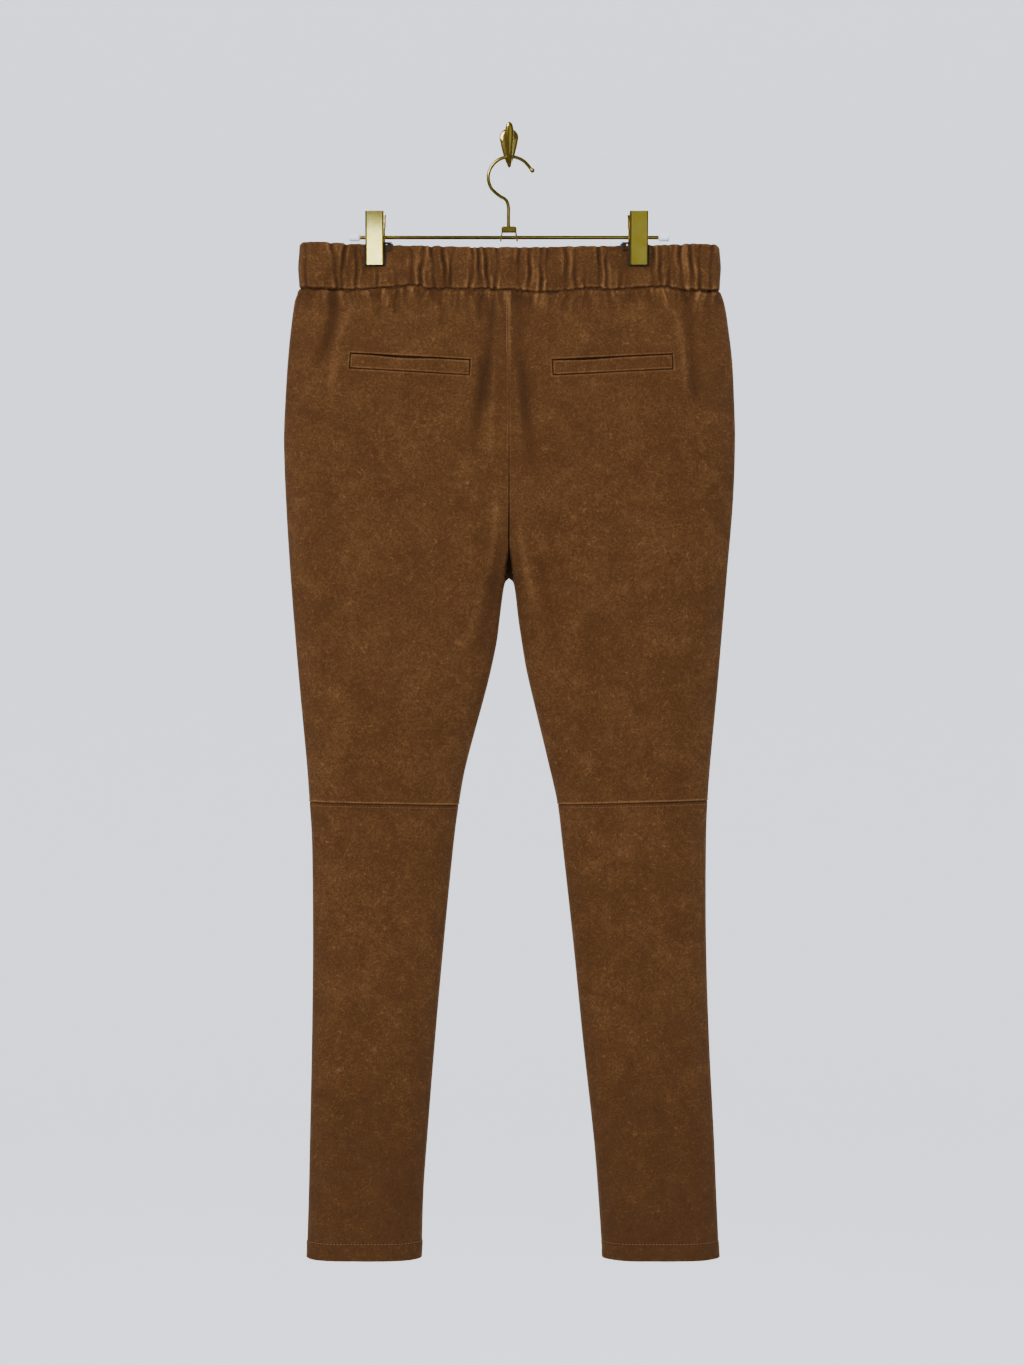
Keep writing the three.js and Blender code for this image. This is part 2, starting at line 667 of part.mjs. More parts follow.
function rod(radius, from, to, sides) {
  const run = new THREE.Vector3().subVectors(to, from);
  const geometry = new THREE.CylinderGeometry(radius, radius, run.length(), sides);
  geometry.applyQuaternion(
    new THREE.Quaternion().setFromUnitVectors(new THREE.Vector3(0, 1, 0), run.normalize()),
  );
  const middle = new THREE.Vector3().addVectors(from, to).multiplyScalar(0.5);
  return geometry.translate(middle.x, middle.y, middle.z);
}
const inHanger = (x, z) => new THREE.Vector3(x, HANG_Y, z);

add("hanger_bar", rod(BAR.radius, inHanger(BAR.left, BAR.z), inHanger(BAR.right, BAR.z), 12), brass());

// A moulded cup over each end of the bar.
function endCap() {
  const { radius, bore, length, wallEnd } = CAPS;
  const profile = [
    [0, 0], [radius * 0.7, 0], [radius, 1], [radius, length - 0.6], [radius - 0.6, length],
    [bore, length], [bore, wallEnd], [0, wallEnd],
  ].map(([x, y]) => new THREE.Vector2(x, y));
  return new THREE.LatheGeometry(profile, CAPS.sides);
}
for (const [name, end, turn] of [
  ["left", BAR.left - 3, -Math.PI / 2],
  ["right", BAR.right + 3, Math.PI / 2],
]) {
  const cap = add(`hanger_cap_${name}`, endCap(), plastic());
  cap.rotation.z = turn;
  cap.position.copy(inHanger(end, BAR.z));
}

// A bent strap carries the bar and lets the hook turn in its top, which has an apron at the
// front and another at the back.
const BRACKET = {
  half: 7.6, foot: 9, top: -81, ankle: -87, bottom: -95, corner: 2, strip: 1.4, width: 8,
};
const APRON = { half: 6.8, top: -81.6, bottom: -86.3, sheet: 1, from: 3 };
const SHANK_X = -0.5;
function bracket() {
  const { half, foot, top, ankle, bottom, corner, strip, width } = BRACKET;
  const outline = new THREE.Shape();
  outline.moveTo(-foot, bottom);
  outline.lineTo(-half, ankle);
  outline.lineTo(-half, top - corner);
  outline.quadraticCurveTo(-half, top, -half + corner, top);
  outline.lineTo(half - corner, top);
  outline.quadraticCurveTo(half, top, half, top - corner);
  outline.lineTo(half, ankle);
  outline.lineTo(foot, bottom);
  outline.lineTo(foot - strip, bottom);
  outline.lineTo(half - strip, ankle);
  outline.lineTo(half - strip, top - strip);
  outline.lineTo(-half + strip, top - strip);
  outline.lineTo(-half + strip, ankle);
  outline.lineTo(-foot + strip, bottom);
  outline.closePath();
  const strap = new THREE.ExtrudeGeometry(outline, {
    depth: width, bevelEnabled: false, curveSegments: 4,
  });
  strap.rotateX(Math.PI / 2);
  strap.translate(0, HANG_Y + width / 2, 0);
  const aprons = [-1, 1].map((way) => {
    const height = APRON.top - APRON.bottom;
    const sheet = new THREE.BoxGeometry(2 * APRON.half, APRON.sheet, height);
    const depth = way * (APRON.from + APRON.sheet / 2);
    return toSolid(sheet.translate(0, HANG_Y + depth, APRON.bottom + height / 2));
  });
  const body = aprons.reduce((joined, apron) => joined.add(apron), toSolid(strap));
  const barHole = rod(BAR.radius + CLEAR, inHanger(-20, BAR.z), inHanger(20, BAR.z), 12);
  const hookHole = rod(WIRE_RADIUS + CLEAR, inHanger(SHANK_X, -90), inHanger(SHANK_X, -70), 12);
  return toGeometry(body.subtract(toSolid(barHole)).subtract(toSolid(hookHole)));
}
add("hanger_bracket", bracket(), brass());

// The hook: a straight shank with a riveted foot, a sweep to the left, an arc and a ball end.
const HOOK_ARC = { x: 1.3, z: -31.5, halfWidth: 22, halfHeight: 20.8, from: 215, to: 35, steps: 9 };
const HOOK_TIP = { x: 25.2, z: -25.8, radius: 2.4 };
const RIVET = { radius: 2.7, bottom: -87.6, top: -83.2 };
function hookPath() {
  const arc = [];
  for (let i = 0; i <= HOOK_ARC.steps; i += 1) {
    const angle = THREE.MathUtils.degToRad(mix(HOOK_ARC.from, HOOK_ARC.to, i / HOOK_ARC.steps));
    const x = HOOK_ARC.x + HOOK_ARC.halfWidth * Math.cos(angle);
    arc.push(inHanger(x, HOOK_ARC.z + HOOK_ARC.halfHeight * Math.sin(angle)));
  }
  const shank = [inHanger(SHANK_X, -86), inHanger(SHANK_X, -72), inHanger(-0.7, -60)];
  const bend = [inHanger(-3, -54), inHanger(-9.5, -49.8)];
  const tip = inHanger(HOOK_TIP.x, HOOK_TIP.z);
  return new THREE.CatmullRomCurve3([...shank, ...bend, ...arc, tip]);
}
function hook() {
  const section = new THREE.Shape().absarc(0, 0, WIRE_RADIUS, 0, Math.PI * 2);
  const wire = new THREE.ExtrudeGeometry(section, {
    extrudePath: hookPath(), steps: 36, curveSegments: 4, bevelEnabled: false,
  });
  const ball = new THREE.SphereGeometry(HOOK_TIP.radius, 10, 8);
  ball.translate(HOOK_TIP.x, HANG_Y, HOOK_TIP.z);
  const rivet = rod(
    RIVET.radius, inHanger(SHANK_X, RIVET.bottom), inHanger(SHANK_X, RIVET.top), 12,
  );
  return toGeometry(toSolid(wire).add(toSolid(ball)).add(toSolid(rivet)));
}
add("hanger_hook", hook(), brass());

// ---------------------------------------------------------------- clips

// Each clip is two channel jaws that turn on the bar, a coil spring between them, and rubber
// pads. The jaws close on the band at their lower ends.
const JAW = {
  width: 18.6, sheet: 1.1, top: -66.9, bottom: -119.7, toe: 6.4, heel: 11.5, nest: 1.5,
};
const LOBE = { top: -80, bottom: -96.6, past: 3.4, depth: 4 };
const PAD = {
  width: 21.6, top: -99.2, bottom: -121, lip: 1.3, gap: 0.3,
  tabTop: -99.6, tabBottom: -106.5, tabRun: 6.5, tabRoot: 1,
};
const SPRING = { outer: 4, inner: 2.5, length: 11 };

// A flat outline in depth and height, given the thickness of a sheet across x.
function acrossX(corners, thickness, x) {
  const outline = new THREE.Shape(corners.map(([y, z]) => new THREE.Vector2(y, z)));
  const sheet = new THREE.ExtrudeGeometry(outline, { depth: thickness, bevelEnabled: false });
  sheet.rotateX(Math.PI / 2);
  sheet.rotateZ(Math.PI / 2);
  return sheet.translate(x, 0, 0);
}

function jaw(out, width) {
  const y = (distance) => HANG_Y + out * distance;
  const { sheet, top, bottom, toe, heel } = JAW;
  const plate = [
    [y(heel), top], [y(heel + sheet), top], [y(toe + sheet), bottom], [y(toe), bottom],
  ];
  const lobe = [
    [y(heel), top - 1.5], [y(heel - LOBE.depth), top - 4], [y(heel - LOBE.depth), LOBE.top],
    [y(-LOBE.past), LOBE.top - 4], [y(-LOBE.past), LOBE.bottom + 2], [y(0), LOBE.bottom],
    [y(toe + 0.8), LOBE.bottom], [y(toe + 0.4), bottom + 3], [y(toe + 0.4), bottom],
    [y(toe + 0.6), bottom],
    [y(heel + 0.6), top - 1.5],
  ];
  const front = toSolid(acrossX(plate, width, -width / 2));
  const cheeks = [-width / 2, width / 2 - sheet].map((x) => toSolid(acrossX(lobe, sheet, x)));
  const hole = toSolid(rod(BAR.radius + CLEAR, inHanger(-20, BAR.z), inHanger(20, BAR.z), 12));
  return cheeks.reduce((joined, cheek) => joined.add(cheek), front).subtract(hole);
}

// Pad with a small tab towards the middle of the hanger, wedged between band and jaw.
function pad(out, towards) {
  const { sheet, toe, heel, top, bottom, nest } = JAW;
  const face = PINCH_DEPTH + PAD.gap;
  const jawAt = (z) => mix(toe, heel, (z - bottom) / (top - bottom)) - PAD.gap;
  const y = (distance) => HANG_Y + out * distance;
  const slab = (x, width, from, to, fromDepth, toDepth) => {
    const corners = [[y(face), from], [y(fromDepth), from], [y(toDepth), to], [y(face), to]];
    return toSolid(acrossX(corners, width, x));
  };
  const inside = JAW.width - 2 * (sheet + nest + 2 * PAD.gap);
  const lip = face + PAD.lip;
  const tabX = towards > 0 ? PAD.width / 2 - PAD.tabRoot : -PAD.width / 2 - PAD.tabRun + PAD.tabRoot;
  const body = slab(-inside / 2, inside, PAD.top, bottom, jawAt(PAD.top), jawAt(bottom));
  return body
    .add(slab(-PAD.width / 2, PAD.width, PAD.top, PAD.bottom, lip, lip))
    .add(slab(tabX, PAD.tabRun, PAD.tabTop, PAD.tabBottom, lip, lip));
}

function spring() {
  const { outer, inner, length } = SPRING;
  const ring = [[inner, -length / 2], [outer, -length / 2], [outer, length / 2],
    [inner, length / 2], [inner, -length / 2]].map(([x, y]) => new THREE.Vector2(x, y));
  return new THREE.LatheGeometry(ring, 14).rotateZ(Math.PI / 2).translate(0, HANG_Y, BAR.z);
}

LEGS.forEach((side, i) => {
  const clip = new THREE.Group();
  clip.position.x = PINCH_X[i];
  const piece = (name, geometry, material) => {
    const mesh = new THREE.Mesh(geometry, material);
    mesh.name = `clip_${side.name}_${name}`;
    clip.add(mesh);
  };
  const nested = JAW.width - 2 * JAW.nest;
  piece("outer_jaw", toGeometry(jaw(-1, JAW.width)), brass());
  piece("wall_jaw", toGeometry(jaw(1, nested)), brass());
  piece("outer_pad", toGeometry(pad(-1, -side.sign)), rubber());
  piece("wall_pad", toGeometry(pad(1, -side.sign)), rubber());
  piece("spring", spring(), brass());
  trousers.add(clip);
});

// ---------------------------------------------------------------- wall hook

const PLATE = { radius: 9.6, middle: 14.5, point: -15.8, thick: 1.6, dome: 1.4 };
function plate() {
  const { radius, middle, point, thick, dome } = PLATE;
  const outline = new THREE.Shape();
  const shoulder = THREE.MathUtils.degToRad(-20);
  outline.absarc(0, middle, radius - dome, shoulder, Math.PI - shoulder);
  outline.quadraticCurveTo(-radius * 0.62, point + 9, -1.2, point + dome);
  outline.lineTo(1.2, point + dome);
  outline.quadraticCurveTo(radius * 0.62, point + 9, (radius - dome) * Math.cos(shoulder),
    middle + (radius - dome) * Math.sin(shoulder));
  const dished = new THREE.ExtrudeGeometry(outline, {
    depth: thick, curveSegments: 10, bevelThickness: dome, bevelSize: dome, bevelSegments: 3,
  });
  // the flat back is where the rear bevel is cut away
  const cut = new THREE.BoxGeometry(60, 20, 80).translate(0, 10, 0);
  return toGeometry(toSolid(dished.rotateX(Math.PI / 2)).subtract(toSolid(cut)));
}
add("wall_hook_plate", plate(), brass());

// The arm springs from the plate, dips under the hanger's wire, and rises in front of it to a
// broad rounded tip.
const ARM = columns(["y", "z", "width", "thick"], [
  [-3.4, 1, 6.5, 6],
  [-9, -7, 5.4, 5.8],
  [-16, -13.6, 4.8, 6],
  [-24, -16.7, 4.6, 7],
  [-32, -16.8, 4.8, 7.6],
  [-38.8, -12.5, 5.6, 6.2],
  [-42.6, -3.5, 6.8, 4.6],
  [-44.6, 5.5, 8.2, 3.8],
  [-45.4, 13.5, 8.2, 3.4],
  [-45.7, 19, 6, 3],
  [-45.7, 21.4, 1.4, 1.2],
]);
const ARM_X = 0.4;
function arm() {
  const line = new THREE.CatmullRomCurve3(ARM.map((row) => new THREE.Vector3(ARM_X, row.y, row.z)));
  const steps = 22;
  const sides = 10;
  const points = [];
  for (let i = 0; i <= steps; i += 1) {
    const at = (i / steps) * (ARM.length - 1);
    const row = Math.min(Math.floor(at), ARM.length - 2);
    const blend = smooth(at - row);
    const width = mix(ARM[row].width, ARM[row + 1].width, blend);
    const thick = mix(ARM[row].thick, ARM[row + 1].thick, blend);
    const centre = line.getPoint(i / steps);
    const run = i === 0 ? new THREE.Vector3(0, -1, 0) : line.getTangent(i / steps);
    const across = new THREE.Vector3(0, -run.z, run.y);
    for (let k = 0; k < sides; k += 1) {
      const turn = (k / sides) * Math.PI * 2;
      const point = centre.clone().addScaledVector(across, (Math.sin(turn) * thick) / 2);
      point.x += (Math.cos(turn) * width) / 2;
      points.push(point);
    }
  }
  const triangles = [];
  for (let i = 0; i < steps; i += 1)
    for (let k = 0; k < sides; k += 1) {
      const [a, b] = [i * sides + k, i * sides + ((k + 1) % sides)];
      triangles.push([a, b, b + sides], [a, b + sides, a + sides]);
    }
  for (const [ring, order] of [[0, 1], [steps, -1]])
    for (let k = 1; k < sides - 1; k += 1) {
      const corners = [ring * sides, ring * sides + k + 1, ring * sides + k];
      triangles.push(order > 0 ? corners : corners.reverse());
    }
  return faced(points, triangles);
}
add("wall_hook_arm", arm(), brass());

export default trousers;
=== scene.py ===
import math

import bpy
import numpy as np
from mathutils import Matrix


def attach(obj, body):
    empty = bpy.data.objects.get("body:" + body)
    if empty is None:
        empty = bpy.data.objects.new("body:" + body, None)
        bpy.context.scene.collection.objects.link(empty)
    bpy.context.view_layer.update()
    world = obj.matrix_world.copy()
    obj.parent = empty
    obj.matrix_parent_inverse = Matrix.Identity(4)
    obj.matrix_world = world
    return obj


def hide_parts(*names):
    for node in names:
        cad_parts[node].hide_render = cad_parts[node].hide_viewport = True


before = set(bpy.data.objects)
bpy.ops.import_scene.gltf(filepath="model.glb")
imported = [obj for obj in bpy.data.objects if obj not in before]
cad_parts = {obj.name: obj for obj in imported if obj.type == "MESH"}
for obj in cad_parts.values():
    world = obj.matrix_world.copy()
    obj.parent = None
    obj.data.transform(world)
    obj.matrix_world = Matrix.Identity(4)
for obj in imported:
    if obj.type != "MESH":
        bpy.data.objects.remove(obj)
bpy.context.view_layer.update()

# ---------------------------------------------------------------- studio
# A camera level with the thighs, a pale round studio whose floor curves up into its wall,
# a pale sky over it and soft lamps. The floor lies where it does under a coat hook.
CAMERA = (0.003, -2.686, -0.5365)
FLOOR = -1.85


def linear(code):
    """Linear colour of an sRGB hex code."""
    parts = [int(code[i : i + 2], 16) / 255 for i in (0, 2, 4)]
    return [p / 12.92 if p <= 0.04045 else ((p + 0.055) / 1.055) ** 2.4 for p in parts] + [1]


def node(tree, kind, settings=None, links=None):
    """Adds a node, sets its values and sockets, and links other nodes' outputs to its inputs."""
    made = tree.nodes.new("ShaderNode" + kind)
    for key, value in (settings or {}).items():
        if isinstance(key, int) or key in made.inputs:
            made.inputs[key].default_value = value
        else:
            setattr(made, key, value)
    for key, output in (links or {}).items():
        tree.links.new(output, made.inputs[key])
    return made


def material(name):
    """New material with its shader and output joined: (material, tree, shader)."""
    made = bpy.data.materials.new(name)
    made.use_nodes = True
    tree = made.node_tree
    tree.nodes.clear()
    shader = node(tree, "BsdfPrincipled")
    node(tree, "OutputMaterial", links={"Surface": shader.outputs[0]})
    return made, tree, shader


def mesh_object(name, points, faces, finish, sharp=50):
    """Object of points in metres and faces, smooth but for edges sharper than an angle."""
    mesh = bpy.data.meshes.new(name)
    mesh.from_pydata(np.asarray(points, float).tolist(), [], faces)
    mesh.polygons.foreach_set("use_smooth", np.ones(len(faces), bool))
    mesh.set_sharp_from_angle(angle=math.radians(sharp))
    mesh.materials.append(finish)
    mesh.update()
    made = bpy.data.objects.new(name, mesh)
    bpy.context.scene.collection.objects.link(made)
    return made


lens = bpy.data.cameras.new("camera")
lens.lens = 70
camera = bpy.data.objects.new("camera", lens)
camera.location = CAMERA
camera.rotation_euler = (math.radians(90), 0, 0)
bpy.context.scene.collection.objects.link(camera)
bpy.context.scene.camera = camera


def ring_faces(count, sides):
    """Four-sided faces between each ring of points and the next."""
    return [
        (r * sides + k, r * sides + (k + 1) % sides,
         (r + 1) * sides + (k + 1) % sides, (r + 1) * sides + k)
        for r in range(count - 1) for k in range(sides)
    ]


def turned(reach, rise, sides=96):
    """Points and faces of a profile turned round the z axis, open at its top."""
    around = np.linspace(0, 2 * math.pi, sides, endpoint=False)
    points = np.stack([
        np.outer(reach, np.cos(around)), np.outer(reach, np.sin(around)),
        np.repeat(np.array(rise, float)[:, None], sides, 1),
    ], -1)
    faces = ring_faces(len(reach), sides) + [tuple(range(sides))[::-1]]
    return points.reshape(-1, 3), faces


STUDIO = {"floor": 5.5, "curve": 2.0, "height": 7.0}
sweep = np.linspace(0, math.pi / 2, 13)
studio_reach = np.concatenate([[0.02], STUDIO["floor"] + STUDIO["curve"] * np.sin(sweep)])
studio_reach = np.append(studio_reach, studio_reach[-1])
studio_rise = np.concatenate([[0], STUDIO["curve"] * (1 - np.cos(sweep))])
studio_rise = np.append(studio_rise, STUDIO["height"]) + FLOOR
paint, tree, shader = material("studio paint")
shader.inputs["Base Color"].default_value = linear("f4f6f9")
shader.inputs["Roughness"].default_value = 0.9
studio = mesh_object("studio", *turned(studio_reach, studio_rise), paint)

world = bpy.data.worlds.new("sky")
world.use_nodes = True
sky = world.node_tree.nodes["Background"]
sky.inputs["Color"].default_value = linear("e9ecf2")
sky.inputs["Strength"].default_value = 2.42
bpy.context.scene.world = world

# Soft lamps: name, place, aimed at, width, height, power, colour.
LAMPS = [
    ("key", (-1.3, -2.35, 1.2), (-0.05, 0, -0.35), 1.2, 1.2, 50, "fff8ee"),
    ("strip", (-0.33, -2.9, -0.31), (-0.13, 0, -0.09), 0.45, 0.45, 6.1, "d9edf3"),
    ("behind", (0.6, 2.6, 0.8), (0, 0, -0.5), 1.6, 1.6, 22, "ffffff"),
]
for name, place, aim, width, height, power, tone in LAMPS:
    lamp = bpy.data.lights.new(name, "AREA")
    lamp.shape, lamp.size, lamp.size_y = "RECTANGLE", width, height
    lamp.energy = power
    lamp.color = linear(tone)[:3]
    holder = bpy.data.objects.new(name, lamp)
    holder.location = place
    run = np.subtract(aim, place)
    holder.rotation_euler = (
        math.pi / 2 + math.atan2(run[2], math.hypot(run[0], run[1])),
        0,
        math.atan2(-run[0], run[1]),
    )
    holder.visible_camera = False
    bpy.context.scene.collection.objects.link(holder)

# The strip lights only what joins this collection: the face of the left clip.
lit_by_strip = bpy.data.collections.new("lit by the strip")
bpy.data.objects["strip"].light_linking.receiver_collection = lit_by_strip

# A dark tent and a dull screen at the right of the camera, which only polished metal reflects.
TENT = {"reach": (0.02, 3.4, 3.4, 2.4, 0.02), "rise": (-1.45, -1.45, 1.6, 2.9, 3.2)}
SCREEN = [(0.06, -3.0, -1.3), (1.4, -3.0, -1.3), (1.4, -3.0, 0.75), (0.06, -3.0, 0.75)]
for name, (points, faces), tone in (
    ("tent", turned(TENT["reach"], TENT["rise"]), "4a4636"),
    ("screen", (SCREEN, [(0, 1, 2, 3)]), "888e66"),
):
    cloth, tree, shader = material(name)
    shader.inputs["Base Color"].default_value = linear(tone)
    shader.inputs["Roughness"].default_value = 1
    card = mesh_object(name, points, faces, cloth)
    card.visible_camera = card.visible_diffuse = card.visible_shadow = False

# ---------------------------------------------------------------- waistband
# Suede casing over a wide elastic, cut as a back and a front half for each side and gathered.
# Its top edge is the fold of the casing; its lower edge is sewn to the panels.
# Sizes are millimetres until a mesh is made.
MM = 0.001
# Middle plane of the hanging cloth, its fork, and where the seat starts to close towards it.
HANG_Y = -32
FORK = -431
CROTCH_START = -314
# Space between two pieces at a seam across the cloth, and at the centre seam.
SEAM_GAP = 0.3
CENTRE_GAP = 0.02
# The casing: its thickness with the elastic, how square its oval is, its height, and the
# levels of its seam and its top before they waver.
BAND_CLOTH = 3.4
BAND_ROUND = 9
BAND_HEIGHT = 44
WAIST_LEVEL = -144
BAND_TOP_LEVEL = -101
# Each clip pinches the band: half the pinched width, how far it fades to the sides, the depth
# left, and the heights where the pinch starts to open and has opened.
CLIP_X = (-134, 129.5)
PINCH_HALF = 13
PINCH_FADE = 50
PINCH_DEPTH = 3.9
PINCH_BOTTOM = -129
PINCH_END = -235


def table(names, rows):
    """Rows of numbers as named columns."""
    return dict(zip(names.split(), np.array(rows, float).T))


# Side seams and fullness: height, left and right edge, middle plane to cloth face.
SIDES = table("z left right depth", [
    (-1110.5, -201, 209, 25), (-1044, -199, 206, 24), (-994, -198, 204, 23),
    (-894, -196, 199, 22), (-794, -195, 196, 21.5), (-694, -196, 196, 22),
    (-657, -198.3, 197.3, 22.5), (-619, -201, 200, 23.5), (-544, -208, 207, 25),
    (-474, -214, 213, 26), (-421, -218, 217.5, 26.5), (-354, -222, 223, 27),
    (-294, -224, 225, 27), (-254, -222.5, 224, 26), (-214, -220, 222, 24),
    (-174, -216, 217, 20), (-154, -213, 213.5, 17.5), (-143, -210, 211, 16.5),
    (-122, -211, 212, 16), (-108, -210, 211, 15.5), (-98, -209.5, 210, 15),
])
INSEAMS = table("z left right", [
    (-1110.5, -88.5, 94.5), (-1044, -86.5, 90), (-994, -83, 86), (-894, -75, 75),
    (-794, -66, 65), (-694, -56, 54), (-657, -51, 49.5), (-619, -44, 41), (-544, -24, 23),
    (-519, -18, 17.5), (-494, -13, 13.5), (-474, -10.5, 10.5), (-454, -8, 8.2),
    (-443, -6.4, 6.8), (-435, -4.2, 4.6), (-431, 0, 0),
])
BAND_TOP = table("x z", [
    (-211, -97.2), (-134, -98.8), (-60, -102.2), (0, -103.1), (65, -102.4),
    (129.5, -99.6), (212, -99.6),
])
WAIST_SEAM = table("x z", [
    (-211, -143), (-164, -145), (-126, -142.8), (-93, -141), (-80, -145), (0, -146),
    (30, -149), (60, -147), (85, -143.8), (98, -145.3), (125, -142.7), (150, -141.7),
    (184, -146.8), (212, -145),
])
# Gathers over the seat: x at the top edge and at the seam, depth, half width, how far each
# runs on into the panel, and 1 where it fills only the lower half of the band.
SEAT_GATHERS = table("top bottom depth width reach low", [
    (-203, -203, 0.9, 2.6, 0, 0), (-177.1, -171.1, 1.6, 2.8, 14, 0),
    (-162.2, -166.6, 1.7, 2.6, 10, 0), (-153.2, -153.2, 1.1, 2.6, 15, 0),
    (-131.3, -131.3, 0.9, 2.4, 25, 1), (-115.4, -111.4, 1.1, 2.6, 22, 1),
    (-98, -99, 0.8, 3, 0, 0), (-83.6, -88.5, 1.7, 2.8, 6, 0),
    (-77.6, -74.6, 1.3, 2.4, 20, 0), (-66.7, -62.7, 1.4, 2.6, 8, 0),
    (-54.7, -58, 1.1, 2.4, 0, 0), (-36.8, -39.8, 1.2, 2.6, 15, 0),
    (-30.8, -27, 1.2, 2.4, 22, 0), (-23.9, -20.5, 1.6, 2.4, 0, 0),
    (-11.9, -14.5, 1.1, 2.4, 18, 0), (11, 11, 1.1, 2.6, 14, 0),
    (19.9, 18.9, 1.5, 2.4, 14, 0), (31.9, 31.9, 1.4, 2.6, 0, 0),
    (38.5, 38.5, 0.9, 2.4, 0, 0), (55.7, 55.7, 1.1, 2.8, 8, 0),
    (66.7, 66.7, 1.1, 2.6, 0, 0), (75.6, 75.6, 0.9, 2.4, 8, 1),
    (88.6, 90.5, 1.5, 2.6, 0, 0), (98.5, 98.5, 1.1, 2.4, 6, 0),
    (110.5, 110.5, 0.9, 2.6, 14, 1), (143.8, 143.8, 1.1, 2.6, 0, 0),
    (151.3, 151.3, 1.2, 2.4, 10, 0), (158.4, 158.4, 1.1, 2.4, 0, 0),
    (170.2, 173.5, 1.5, 2.6, 12, 0), (179.1, 182.1, 1.5, 2.6, 12, 0),
    (189.1, 189.5, 1.1, 2.4, 0, 0), (203, 201, 1.2, 2.6, 12, 0),
])


def smooth(value):
    """0 below 0, 1 above 1, and an s-shaped rise between."""
    t = np.clip(value, 0, 1)
    return t * t * (3 - 2 * t)


def mix(low, high, share):
    """Value a share of the way from low to high."""
    return low + (high - low) * share


def bell(away, width):
    """1 in the middle, and falling off on both sides as a bell curve of a given half width."""
    return np.exp(-((away / width) ** 2))


def along(rows, key, column, at):
    """Smooth curve through a table: cubics whose slope at a row is that of its neighbours."""
    x, y = rows[key], rows[column]
    after = np.minimum(np.arange(len(x)) + 1, len(x) - 1)
    before = np.maximum(np.arange(len(x)) - 1, 0)
    slope = (y[after] - y[before]) / (x[after] - x[before])
    i = np.clip(np.searchsorted(x, at, side="right") - 1, 0, len(x) - 2)
    span = x[i + 1] - x[i]
    t = np.clip((at - x[i]) / span, 0, 1)
    return (
        mix(y[i], y[i + 1], t * t * (3 - 2 * t))
        + slope[i] * span * t * (1 - t) ** 2
        - slope[i + 1] * span * t * t * (1 - t)
    )


def mirrored(rows):
    """The same folds turned round for the front, shallower and a little off."""
    made = {key: value.copy() for key, value in rows.items()}
    for key in made:
        if key[-1] == "x" or key in ("top", "bottom"):
            made[key] = 2.5 - 0.985 * made[key]
    made["depth"] = 0.85 * made["depth"]
    return made


def each(rows):
    """A table's rows, one after the other, as dictionaries."""
    return [dict(zip(rows, values)) for values in zip(*rows.values())]


BACK, FRONT = -1, 1
FACE_NAME = {BACK: "back", FRONT: "front"}
GATHERS = {BACK: SEAT_GATHERS, FRONT: mirrored(SEAT_GATHERS)}
SIGN = {"left": -1, "right": 1}


def form(side, out, share, z, roundness):
    """Smooth face of the cloth. Share runs from the side seam to the middle seam or inseam.

    The section is a flattened oval between the middle plane and the fullness, which falls to
    the pinched depth beside a clip; in the middle seam the fullness ends at the fork.
    """
    outer = along(SIDES, "z", side, z)
    inner = np.where(z >= FORK, 0, along(INSEAMS, "z", side, z))
    x = mix(outer, inner, share)
    away = np.minimum(np.abs(x - CLIP_X[0]), np.abs(x - CLIP_X[1]))
    held = 1 - smooth((away - PINCH_HALF) / PINCH_FADE)
    held = held * smooth((z - PINCH_END) / (PINCH_BOTTOM - PINCH_END))
    depth = mix(along(SIDES, "z", "depth", z), PINCH_DEPTH, held)
    down = np.maximum(CROTCH_START - z, 0) / (CROTCH_START - FORK)
    full = np.where(z <= FORK, 0, np.sqrt(np.clip(1 - down * down, 0, 1)))
    bow = np.sqrt(np.clip(1 - np.abs(2 * share - 1) ** roundness, 0, 1))
    fill = np.where(share < 0.5, bow, full + (1 - full) * bow)
    return np.stack([x, HANG_Y + out * depth * fill, z + 0 * x], -1)


def outward(side, out, share, z, roundness):
    """Direction out of the cloth, square to its face; at a seam it stays in the seam's plane."""
    width = np.abs(along(SIDES, "z", side, z)) - np.where(
        z >= FORK, 0, np.abs(along(INSEAMS, "z", side, z))
    )
    few = 0.5 * np.minimum(np.minimum(0.5 / width, share), np.where(share < 1, 1 - share, 1))
    low, high = np.maximum(share - few, 0), np.minimum(share + few, 1)
    up = np.where(z > FORK, np.minimum(0.5, (z - FORK) / 2), 0.5)
    across = form(side, out, high, z, roundness) - form(side, out, low, z, roundness)
    above = form(side, out, share, z + up, roundness) - form(side, out, share, z - up, roundness)
    facing = np.cross(across, above)
    sign = SIGN[side]
    facing[share == 1, 0] = 0
    facing /= np.maximum(np.linalg.norm(facing, axis=-1, keepdims=True), 1e-12)
    facing *= np.where(facing[..., 1:2] * out < 0, -1, 1)
    facing[share == 0] = (sign, 0, 0)
    facing[(share == 1) & (z < FORK)] = (-sign, 0, 0)
    facing[(share == 1) & (z == FORK)] = (-sign * 0.7071, 0, -0.7071)
    return facing


def off_seams(points, side, out, z):
    """Keeps points on their side of the middle plane, and the seat a hair off its centre seam."""
    points[..., 1] = HANG_Y + out * np.maximum((points[..., 1] - HANG_Y) * out, 0)
    hair = CENTRE_GAP / 2 if out == BACK else 0
    clear = SIGN[side] * np.maximum(points[..., 0] * SIGN[side], hair)
    points[..., 0] = np.where(z >= FORK, clear, points[..., 0])
    return points


